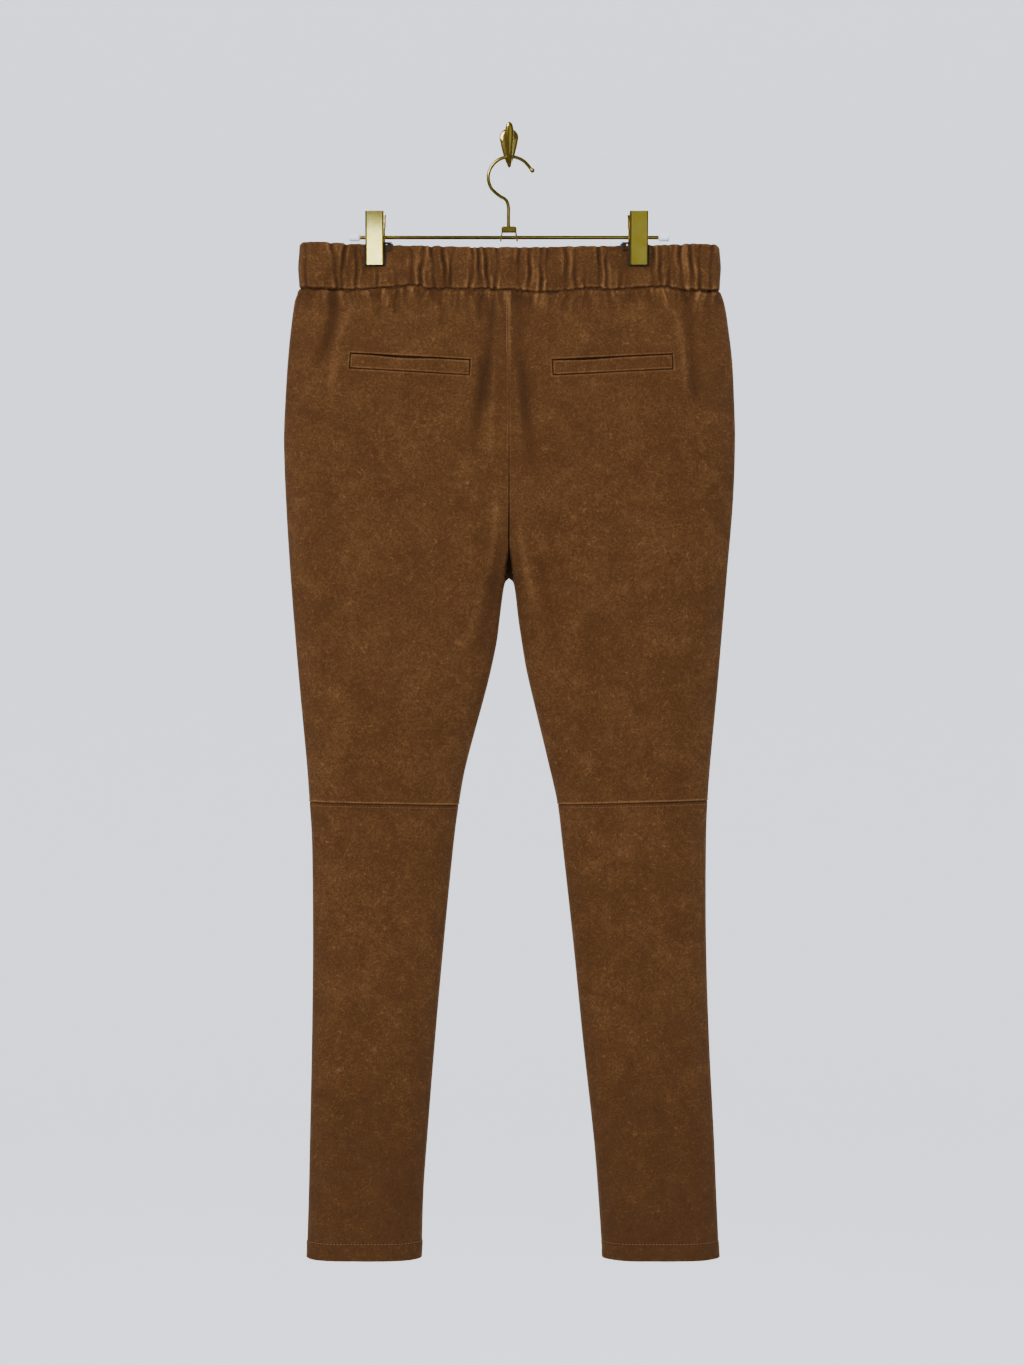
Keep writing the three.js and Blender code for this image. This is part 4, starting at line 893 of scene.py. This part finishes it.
def panel_piece(side, out, upper):
    """A panel on its grid: close rows at seams, at the fork and round the pocket's window."""
    fine = out == BACK
    if upper:
        middle, top, _ = POCKETS[side]
        width = abs(along(SIDES, "z", side, -214.0))
        window = WELT_LENGTH / 2 + WELT_GAP
        ends = [abs(abs(middle) - width + way * window) for way in (-1, 1)] if fine else ()
        across = spread(
            0, width, 1.9 if fine else 3, places=ends, fine=0.38, reach=0.8,
            round_start=20, round_end=14,
        ) / width
        places = (WAIST_LEVEL, FORK, KNEE_LEVEL)
        if fine:
            places += (top + MOUTH, top - WELT_HEIGHT)
        step = 2.6 if fine else 3.6
        down = spread(WAIST_LEVEL, KNEE_LEVEL, step, places=places, fine=0.38, reach=1.4)
        down[np.argmin(np.abs(down - FORK))] = FORK
    else:
        step = 2.2 if fine else 3
        across = spread(0, KNEE_WIDTH, step, round_start=16, round_end=16) / KNEE_WIDTH
        down = spread(
            KNEE_LEVEL, HEM_BOTTOM, 3 if fine else 4,
            places=(KNEE_LEVEL, HEM_BOTTOM + HEM_HEIGHT, HEM_BOTTOM), fine=0.4, reach=1.4,
        )
    share, level = np.meshgrid(across, down)
    name = f"{FACE_NAME[out]}_{'upper' if upper else 'lower'}_{side}"
    outer, inner, wear_and_painted_highlight, painted_shade = panel(side, out, share, level)
    return wall(name, outer, inner, suede, wear_and_painted_highlight, painted_shade)


for side in SIGN:
    for out, label in FACE_NAME.items():
        panel_piece(side, out, True)

# ---------------------------------------------------------------- pocket welts
# A folded strip that fills its window, flush with the seat. Its top edge is the pocket's mouth
# and sags a little where a hand has pulled it.
WELT_CLOTH = 1.3
WELT_PROUD = 0.3
# Where the mouth sags: place along the welt, half width and depth.
SAGS = {"left": (-6, 24, 1.6), "right": (-24, 22, 1.3)}
for side in SIGN:
    half = WELT_LENGTH / 2
    run = spread(-half, half, 1.1, places=(-half, half), fine=0.3, reach=0.6)
    drop = spread(0, WELT_HEIGHT, 0.9, places=(0, WELT_HEIGHT), fine=0.25, reach=0.7)
    run, drop = np.meshgrid(run, drop)
    at, sag_half, sag = SAGS[side]
    lowered = drop + sag * bell(run - at, sag_half) * (1 - drop / WELT_HEIGHT) ** 2
    x, z = from_window(side, run, lowered)
    base, _ = on_seat(side, x, z)
    near_edge = np.minimum(np.minimum(half - np.abs(run), drop), WELT_HEIGHT - drop)
    edge = rolled(near_edge, 0.6)
    swell = 0.25 * bell(drop - 2, 1.8) + 0.12 * unevenness(x, z, 71, 6, 20)
    outer, inner = base.copy(), base.copy()
    outer[..., 1] -= WELT_PROUD + swell - edge
    inner[..., 1] -= WELT_PROUD - WELT_CLOTH + 0.9 * edge
    # Painted highlight, with wear, just inside the welt's rounded edges, and painted shade right on
    # them.
    wear_and_painted_highlight, painted_shade = 0.5 * bell(near_edge - 1.1, 0.7), 0.7 * bell(near_edge, 0.5)
    welt = wall(f"pocket_welt_{side}", outer, inner, suede, wear_and_painted_highlight, painted_shade)

# ---------------------------------------------------------------- panels of the lower legs
# From the knee seam to the hem, whose edge is turned up 17 mm and stitched.
for side in SIGN:
    for out, label in FACE_NAME.items():
        panel_piece(side, out, False)

# ---------------------------------------------------------------- sewing thread
# Brown thread: a row under each knee seam and one at each hem, a short one beside the centre
# seam with a bar across its top, and a tack at both corners of each welt's right end. It is
# spun polyester, so it is matt, and its twist shows as fine light and dark specks.


def grained(name, scale, detail, low, high, roughness, relief, depth):
    """Material whose colour runs from low to high with a noise, which is its relief as well."""
    made, tree, shader = material(name)
    where = node(tree, "TexCoord").outputs["Object"]
    noise = node(tree, "TexNoise", {"Scale": scale, "Detail": detail}, {"Vector": where}).outputs[0]
    ramp = node(tree, "ValToRGB", links={0: noise})
    ramp.color_ramp.elements[0].color = linear(low)
    ramp.color_ramp.elements[1].color = linear(high)
    tree.links.new(ramp.outputs[0], shader.inputs["Base Color"])
    shader.inputs["Roughness"].default_value = roughness
    if relief:
        bump = node(tree, "Bump", {"Strength": relief, "Distance": depth}, {"Height": noise})
        tree.links.new(bump.outputs[0], shader.inputs["Normal"])
    return made, shader


thread, _ = grained("sewing thread", 2400, 1, "4a2d17", "7d5531", 0.7, 0.4, 0.0001)


def stitches(line, facing, length, gap, radius):
    """Points and faces of thread capsules laid end to end along a line on the cloth."""
    run = np.concatenate([[0], np.cumsum(np.linalg.norm(np.diff(line, axis=0), axis=1))])
    starts = np.arange(gap / 2, run[-1] - length, length + gap)
    middle, first, last = (
        np.stack([np.interp(starts + length * k, run, line[:, i]) for i in range(3)], -1)
        for k in (0.5, 0.1, 0.9)
    )
    up = np.stack([np.interp(starts, run, facing[:, i]) for i in range(3)], -1)
    ahead = last - first
    ahead /= np.linalg.norm(ahead, axis=1, keepdims=True)
    aside = np.cross(ahead, up)
    aside /= np.linalg.norm(aside, axis=1, keepdims=True)
    up = np.cross(aside, ahead)
    t = np.array([-0.5, -0.44, -0.25, 0.25, 0.44, 0.5])
    r = radius * np.array([0.3, 0.8, 1, 1, 0.8, 0.3])
    dip = -0.35 * radius * np.array([2.2, 1.2, 0, 0, 1.2, 2.2])
    angle = np.linspace(0, 2 * math.pi, 6, endpoint=False)
    sideways, upwards = np.outer(r, np.cos(angle)), dip[:, None] + np.outer(r, np.sin(angle))
    local = np.stack(np.broadcast_arrays((t * length)[:, None], sideways, upwards), -1)
    local = local.reshape(-1, 3)
    points = middle[:, None] + sum(
        local[None, :, i, None] * axis[:, None] for i, axis in enumerate((ahead, aside, up))
    )
    ring = np.arange(6)
    tube = [(k * 6 + i, k * 6 + (i + 1) % 6, k * 6 + 6 + (i + 1) % 6, k * 6 + 6 + i)
            for k in range(5) for i in ring]
    tube += [tuple(ring[::-1]), tuple(30 + ring)]
    faces = [tuple(int(v) + 36 * n for v in face) for n in range(len(starts)) for face in tube]
    return points.reshape(-1, 3), faces


def join(parts):
    """Several sets of points and faces as one."""
    points, faces, count = [], [], 0
    for some, made in parts:
        points.append(some)
        faces += [tuple(v + count for v in face) for face in made]
        count += len(some)
    return np.concatenate(points), faces


def seam_thread(side, out, ends, level, length=2.7, gap=0.7, radius=0.3):
    """Stitches along a level line of a panel, between two shares of its width."""
    share, levels = np.meshgrid(np.linspace(*ends, 240), [level - 2, level, level + 2])
    line, _, _, _ = panel(side, out, share, levels)
    z = panel_level(side, out, share, levels)
    facing = outward(side, out, share, z, FOLD_ROUND)
    return stitches(line[1], facing[1], length, gap, radius)


def seat_thread(side, start, end, length, gap, radius):
    """Stitches on the seat in a straight line between two places."""
    x, z = (np.linspace(start[i], end[i], 60)[None] for i in (0, 1))
    points, facing = on_seat(side, x, z)
    return stitches(points[0] + 0.3 * facing[0], facing[0], length, gap, radius)


tacks = [
    seat_thread("left", (-2.5, -156), (-2.5, -210), 2.6, 0.5, 0.26),
    seat_thread("left", (-5.5, -155.5), (-0.3, -155.5), 1.5, 0.2, 0.28),
]
for side in SIGN:
    run, drop = WELT_LENGTH / 2 + 1.3, WELT_HEIGHT + 0.8
    x, z = from_window(side, run, drop)
    tacks.append(seat_thread(side, (x, z), (x + 0.2, z + 3.6), 1.6, 0.3, 0.26))
    x, z = from_window(side, run, 0)
    tacks.append(seat_thread(side, (x, z), (x, z - 2.4), 1.1, 0.2, 0.24))
points, faces = join(tacks)
sewn = mesh_object("seat_thread", points * MM, faces, thread)
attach(sewn, "root")

for side in SIGN:
    rows = []
    for out in (BACK, FRONT):
        rows.append(seam_thread(side, out, (0.004, 0.996), HEM_BOTTOM + HEM_HEIGHT))
        rows.append(seam_thread(side, out, (0.006, 0.994), KNEE_LEVEL - 3.3, 2.2, 0.8, 0.22))
    points, faces = join(rows)
    sewn = mesh_object(f"leg_thread_{side}", points * MM, faces, thread)
    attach(sewn, "root")

# ---------------------------------------------------------------- hanger
# A brass bar with a moulded cup on each end, a bent strap that carries it, and a wire hook
# that turns in the strap's top.
BAR_Z = -91.6
BAR_ENDS = (-154, 158)
BAR_RADIUS = 1.9
# Left end of each cup, and every cup's length, radius and rounding.
CUP_AT = {"left": -160, "right": 149.4}
CUP = {"length": 11, "radius": 3.8, "round": 2.1}
WIRE_RADIUS = 1.75

# Brass plate on steel, buffed and lacquered: a slightly blurred mirror with faint dimples,
# whose lacquer is deeper in tone in some places.
brass, tree, shader = material("brass plate")
where = node(tree, "TexCoord").outputs["Object"]
blotch = node(tree, "TexNoise", {"Scale": 90, "Detail": 3}, {"Vector": where}).outputs[0]
speck = node(tree, "TexNoise", {"Scale": 1500, "Detail": 2}, {"Vector": where}).outputs[0]
ramp = node(tree, "ValToRGB", links={0: blotch})
for stop, position, tone in zip(ramp.color_ramp.elements, (0.3, 0.7), ("c9ae54", "d6c070")):
    stop.position, stop.color = position, linear(tone)
tree.links.new(ramp.outputs[0], shader.inputs["Base Color"])
shader.inputs["Metallic"].default_value = 1
blur = node(tree, "MapRange", {1: 0.3, 2: 0.7, 3: 0.1, 4: 0.2}, {0: speck}).outputs[0]
tree.links.new(blur, shader.inputs["Roughness"])
dimples = node(tree, "Bump", {"Strength": 0.08, "Distance": 0.0002}, {"Height": speck})
tree.links.new(dimples.outputs[0], shader.inputs["Normal"])

# Moulded polythene: white, waxy, and lit a little way through.
plastic, shader = grained("white plastic", 300, 2, "e4ebfa", "f2f7ff", 0.38, 0, 0)
shader.inputs["Subsurface Weight"].default_value = 0.2
shader.inputs["Subsurface Radius"].default_value = (0.002, 0.002, 0.002)

# Moulded rubber: black and matt, with a fine grip to it.
rubber, _ = grained("black rubber", 500, 3, "100f0e", "24211d", 0.62, 0.3, 0.0002)


def turned_out(points, faces):
    """The faces of a closed solid, all pointing out."""
    fan = np.array([(f[0], f[i], f[i + 1]) for f in faces for i in range(1, len(f) - 1)])
    a, b, c = (points[fan[:, k]] for k in range(3))
    if np.einsum("ij,ij->", a, np.cross(b, c)) < 0:
        faces = [tuple(reversed(face)) for face in faces]
    return points, faces


def lofted(rings):
    """Closed solid through a row of rings, each of the same number of points."""
    count, sides = rings.shape[:2]
    ends = [tuple(range(sides))[::-1], tuple(range((count - 1) * sides, count * sides))]
    return turned_out(rings.reshape(-1, 3), ring_faces(count, sides) + ends)


def swept(line, across, wide, thick, sides=20):
    """Rod of oval section along a line; across is square to the plane that the line lies in."""
    run = np.gradient(line, axis=0)
    run /= np.linalg.norm(run, axis=1, keepdims=True)
    across = np.broadcast_to(np.array(across, float), line.shape)
    other = np.cross(run, across)
    angle = np.linspace(0, 2 * math.pi, sides, endpoint=False)
    return lofted(
        line[:, None]
        + (np.outer(wide, np.cos(angle)) / 2)[..., None] * across[:, None]
        + (np.outer(thick, np.sin(angle)) / 2)[..., None] * other[:, None]
    )


def curved(points, count):
    """Smooth line through a few points, by their distance along it."""
    points = np.array(points, float)
    run = np.concatenate([[0], np.cumsum(np.linalg.norm(np.diff(points, axis=0), axis=1))])
    rows = {"run": run, "x": points[:, 0], "y": points[:, 1], "z": points[:, 2]}
    at = np.linspace(0, run[-1], count)
    return np.stack([along(rows, "run", key, at) for key in "xyz"], -1)


def prism(outline, axis, low, high):
    """Solid whose outline, in the two axes other than axis, runs from low to high along it."""
    flat = np.insert(np.array(outline, float), axis, 0, axis=1)
    ends = np.stack([flat, flat])
    ends[0, :, axis], ends[1, :, axis] = low, high
    return lofted(ends)


def box(low, high):
    """Plain block between two corners."""
    corners = [(low[1], low[2]), (high[1], low[2]), (high[1], high[2]), (low[1], high[2])]
    return prism(corners, 0, low[0], high[0])


def hardware(name, parts, finish, bevel=0, sharp=40):
    """A hard piece made of solids, with its edges rounded, in place of the node of that name."""
    points, faces = join(parts)
    made = mesh_object(name, points * MM, faces, finish, sharp)
    if bevel:
        rounding = made.modifiers.new("rounded edges", "BEVEL")
        rounding.width = bevel * MM
        rounding.segments = 2
        rounding.angle_limit = math.radians(50)
    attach(made, "root")
    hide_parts(name)
    return made


def rod_x(low, high, radius, ends):
    """Round rod along x whose two ends are rounded off over a short length."""
    turn = np.linspace(0, math.pi / 2, 7)
    run_in = ends * (1 - np.cos(turn))
    x = np.concatenate([low + run_in, high - run_in[::-1]])
    inset = radius - ends * (1 - np.sin(turn))
    size = 2 * np.concatenate([inset, inset[::-1]])
    line = np.stack([x, HANG_Y + 0 * x, BAR_Z + 0 * x], -1)
    return swept(line, (0, 1, 0), size, size, 32)


hardware("hanger_bar", [rod_x(*BAR_ENDS, BAR_RADIUS, 0.4)], brass)
for side, at in CUP_AT.items():
    cup = rod_x(at, at + CUP["length"], CUP["radius"], CUP["round"])
    hardware(f"hanger_cap_{side}", [cup], plastic)

# The strap's outline from the front, up one leg, over and down the other, outside then inside.
strap = [
    (-9, -95), (-7.6, -87), (-7.6, -83), (-7, -81.6), (-5.6, -81), (5.6, -81), (7, -81.6),
    (7.6, -83), (7.6, -87), (9, -95), (7.4, -95), (6.1, -87), (6.1, -82.2), (-6.1, -82.2),
    (-6.1, -87), (-7.4, -95),
]
# A thin cheek closes the top of the strap in front and behind.
cheeks = [
    box((-7, HANG_Y + way * 3.5 - 0.5, -86.3), (7, HANG_Y + way * 3.5 + 0.5, -81.7))
    for way in (-1, 1)
]
hardware(
    "hanger_bracket", [prism(strap, 1, HANG_Y - 4, HANG_Y + 4)] + cheeks, brass, 0.25
)

# The hook: the middle of its bow, half its width and height, and where the bow starts and
# ends, in degrees. A rivet holds its foot in the strap.
HOOK = {"x": 1.3, "z": -31.5, "wide": 22, "tall": 20.8, "from": 215, "to": 35}
bow = np.radians(np.linspace(HOOK["from"], HOOK["to"], 13))
path = [(-0.5, -86), (-0.5, -78), (-0.5, -70), (-0.7, -60), (-3, -54), (-9.5, -49.8)]
path += zip(HOOK["x"] + HOOK["wide"] * np.cos(bow), HOOK["z"] + HOOK["tall"] * np.sin(bow))
path += [(22.3, -23.4), (25.2, -25.8)]
wire = curved([(x, HANG_Y, z) for x, z in path], 220)
size = np.full(len(wire), 2 * WIRE_RADIUS)
# The tip ends in a ball, whose middle lies a little less than its radius from the end.
BALL = {"radius": 2.4, "in": 2.2}
to_tip = np.linalg.norm(wire - wire[-1], axis=1)
ball = 2 * np.sqrt(np.clip(BALL["radius"] ** 2 - (to_tip - BALL["in"]) ** 2, 0.01, None))
shank = np.where(to_tip > BALL["in"], size, 0)
size = np.where(to_tip < 2 * BALL["in"], np.maximum(ball, shank), size)
rivet = np.array([(-0.5, HANG_Y, z) for z in (-86.4, -86, -83.6, -83.2)], float)
rivet_size = np.array([4.4, 5.4, 5.4, 4.4])
hardware(
    "hanger_hook",
    [swept(wire, (0, 1, 0), size, size), swept(rivet, (0, 1, 0), rivet_size, rivet_size)],
    brass,
)

# ---------------------------------------------------------------- clips
# Two channel jaws that turn on the bar, pressed from sheet, with a coil spring between them
# and rubber pads whose lip and tab stand out round the jaws.
# The jaw's inner face lies toe and heel from the middle plane, at its bottom and its top.
JAW = {
    "width": 18.6, "sheet": 1.1, "top": -66.9, "bottom": -119.7, "toe": 6.4, "heel": 11.5,
    "bow": 0.5, "bend": 1.7,
}
# The wall jaw stands aside, so that its cheeks pass those of the outer jaw.
WALL_JAW_ASIDE = 1.2
# How far from the middle plane the cheeks reach at each height; 99 where there are none.
CHEEKS = table("z reach", [
    (-119.7, 99), (-97, 99), (-96.6, 0.5), (-95.6, -2.2), (-94.6, -3.4), (-84, -3.4),
    (-82.5, -1), (-80, 7.5), (-71, 7.5), (-68.6, 10.4), (-68, 99), (-66.9, 99),
])
PAD = {"half": 6.1, "top": -99.2, "lip_half": 10.8, "lip_bottom": -121, "gap": 0.3}
# The pad's tab, an open frame: where it starts, and how far on its upright bar starts and ends;
# then the levels of its lower and its upper bar.
TAB = {"root": 10.6, "inner": 4.2, "outer": 6.3}
TAB_LEVELS = (-105.2, -104.4, -98.9, -96.9)
COIL = {"half": 4.8, "radius": 3.25, "wire": 1.3, "turns": 7}


def jaw_inside(z):
    """Distance of a jaw's inner face from the middle plane: it leans out from toe to heel."""
    up = (z - JAW["bottom"]) / (JAW["top"] - JAW["bottom"])
    return mix(JAW["toe"], JAW["heel"], up)


def channel(out):
    """A jaw: a slightly bowed face bent back at both sides into cheeks, lofted foot to top."""
    z = np.unique(np.concatenate([np.linspace(JAW["bottom"], JAW["top"], 54), CHEEKS["z"]]))
    up = (z - JAW["bottom"]) / (JAW["top"] - JAW["bottom"])
    front = jaw_inside(z) + JAW["sheet"] + 4 * JAW["bow"] * up * (1 - up)
    bend, half = JAW["bend"], JAW["width"] / 2
    reach = np.minimum(np.interp(z, CHEEKS["z"], CHEEKS["reach"]), front - bend - 0.1)
    corner = [(math.cos(a), math.sin(a)) for a in np.linspace(0, math.pi / 2, 6)]
    centre, inner = half - bend, bend - JAW["sheet"]
    right = [(np.full(z.shape, half), reach)]
    right += [(centre + bend * c, front - bend + bend * s) for c, s in corner]
    right += [(centre - 0.3, front)]
    back = [(centre + inner * c, front - bend + inner * s) for c, s in corner][::-1]
    back += [(np.full(z.shape, half - JAW["sheet"]), reach)]
    outline = right + [(-x, y) for x, y in right[::-1]] + [(-x, y) for x, y in back[::-1]] + back
    return lofted(np.stack([
        np.stack([x + 0 * z, HANG_Y + out * (y + 0 * z), z], -1) for x, y in outline
    ], 1))


def pad(out, towards):
    """Rubber pad between the band and a jaw: wedge, lip, and a framed tab towards the middle."""
    face, lip = PINCH_DEPTH + 0.3, PINCH_DEPTH + 1.6
    wedge = [
        (face, JAW["bottom"]), (jaw_inside(JAW["bottom"]) - PAD["gap"], JAW["bottom"]),
        (jaw_inside(PAD["top"]) - PAD["gap"], PAD["top"]), (face, PAD["top"]),
    ]
    parts = [prism([(HANG_Y + out * y, z) for y, z in wedge], 0, -PAD["half"], PAD["half"])]
    near, far = sorted((HANG_Y + out * face, HANG_Y + out * lip))
    root = TAB["root"] * towards
    inner, outer = root + TAB["inner"] * towards, root + TAB["outer"] * towards
    foot, low, high, top = TAB_LEVELS
    for x0, x1, z0, z1 in (
        (-PAD["lip_half"], PAD["lip_half"], PAD["lip_bottom"], PAD["top"]),
        (root, outer, high, top), (inner, outer, foot, high), (root, inner, foot, low),
    ):
        parts.append(box((min(x0, x1), near, z0), (max(x0, x1), far, z1)))
    return parts


def shifted(parts, x):
    """The same solids moved along x."""
    return [(points + (x, 0, 0), faces) for points, faces in parts]


turns = np.linspace(-1, 1, 340) * COIL["turns"] * math.pi
coil = np.stack([
    turns / (COIL["turns"] * math.pi) * COIL["half"],
    HANG_Y + COIL["radius"] * np.cos(turns), BAR_Z + COIL["radius"] * np.sin(turns),
], -1)
coil_wire = np.full(len(coil), COIL["wire"])
spring = swept(coil, (1, 0, 0), coil_wire, coil_wire, 10)
for side, x in zip(SIGN, CLIP_X):
    towards = -SIGN[side]
    aside = x + WALL_JAW_ASIDE * towards
    for label, out, at in (("outer", BACK, x), ("wall", FRONT, aside)):
        jaw = hardware(
            f"clip_{side}_{label}_jaw", shifted([channel(out)], at), brass, 0.22
        )
        if side == "left" and out == BACK:
            lit_by_strip.objects.link(jaw)
    for label, out, at in (("outer", BACK, x), ("wall", FRONT, aside)):
        hardware(
            f"clip_{side}_{label}_pad", shifted(pad(out, towards), at), rubber,
            0.3,
        )
    hardware(f"clip_{side}_spring", shifted([spring], x), brass)

# ---------------------------------------------------------------- wall hook
# A cast drop-shaped plate, domed in front, and an arm that dips from it and rises again to a
# broad dished leaf. The hanger's wire lies in the dip.
# Its round head's radius and middle, the point of the drop, where the head's arc ends, and the
# level that the dome shrinks towards.
PLATE = {"radius": 9.6, "middle": 14.5, "point": -15.8, "shoulder": -20, "crown": 6}
shoulder = math.radians(PLATE["shoulder"])
arc = np.linspace(shoulder, math.pi - shoulder, 49)
t = np.linspace(0, 1, 26)[1:]
drop_x = PLATE["radius"] * ((1 - t) ** 2 * math.cos(shoulder) + 2 * t * (1 - t) * 0.62)
drop_z = (
    (1 - t) ** 2 * (PLATE["middle"] + PLATE["radius"] * math.sin(shoulder))
    + 2 * t * (1 - t) * (PLATE["point"] + 9) + t * t * PLATE["point"]
)
head_x, head_z = PLATE["radius"] * np.cos(arc), PLATE["middle"] + PLATE["radius"] * np.sin(arc)
outline_x = np.concatenate([head_x, -drop_x, drop_x[-2::-1]])
outline_z = np.concatenate([head_z, drop_z, drop_z[-2::-1]])
# The dome: how far the outline has shrunk at each height over the wall.
shrink = np.array([1, 1, 0.985, 0.95, 0.88, 0.75, 0.55, 0.3, 0.05])
height = np.array([0, 1.0, 1.5, 1.9, 2.25, 2.6, 2.85, 2.97, 3.0])
rings = np.stack([
    np.outer(shrink, outline_x), -np.repeat(height[:, None], len(outline_x), 1),
    PLATE["crown"] + np.outer(shrink, outline_z - PLATE["crown"]),
], -1)
hardware("wall_hook_plate", [lofted(rings)], brass, sharp=50)

ARM = table("run y z wide thick", [
    (0, -3, 1, 6.5, 6), (1, -9, -7, 5.4, 5.8), (2, -16, -13.6, 4.8, 6), (3, -24, -16.6, 4.6, 7),
    (4, -32, -16.7, 4.8, 7.6), (5, -38.8, -12.5, 5.6, 6.2), (6, -42.6, -3.5, 6.8, 4.6),
    (7, -44.6, 5.5, 8.2, 3.8), (8, -45.4, 13.5, 8.2, 3.4), (9, -45.7, 19, 6, 3),
    (10, -45.7, 21.3, 1, 1),
])
run = np.linspace(0, 10, 121)
line = np.stack([0.4 + 0 * run] + [along(ARM, "run", key, run) for key in ("y", "z")], -1)
wide, thick = (along(ARM, "run", key, run) for key in ("wide", "thick"))
hardware("wall_hook_arm", [swept(line, (1, 0, 0), wide, thick, 32)], brass)
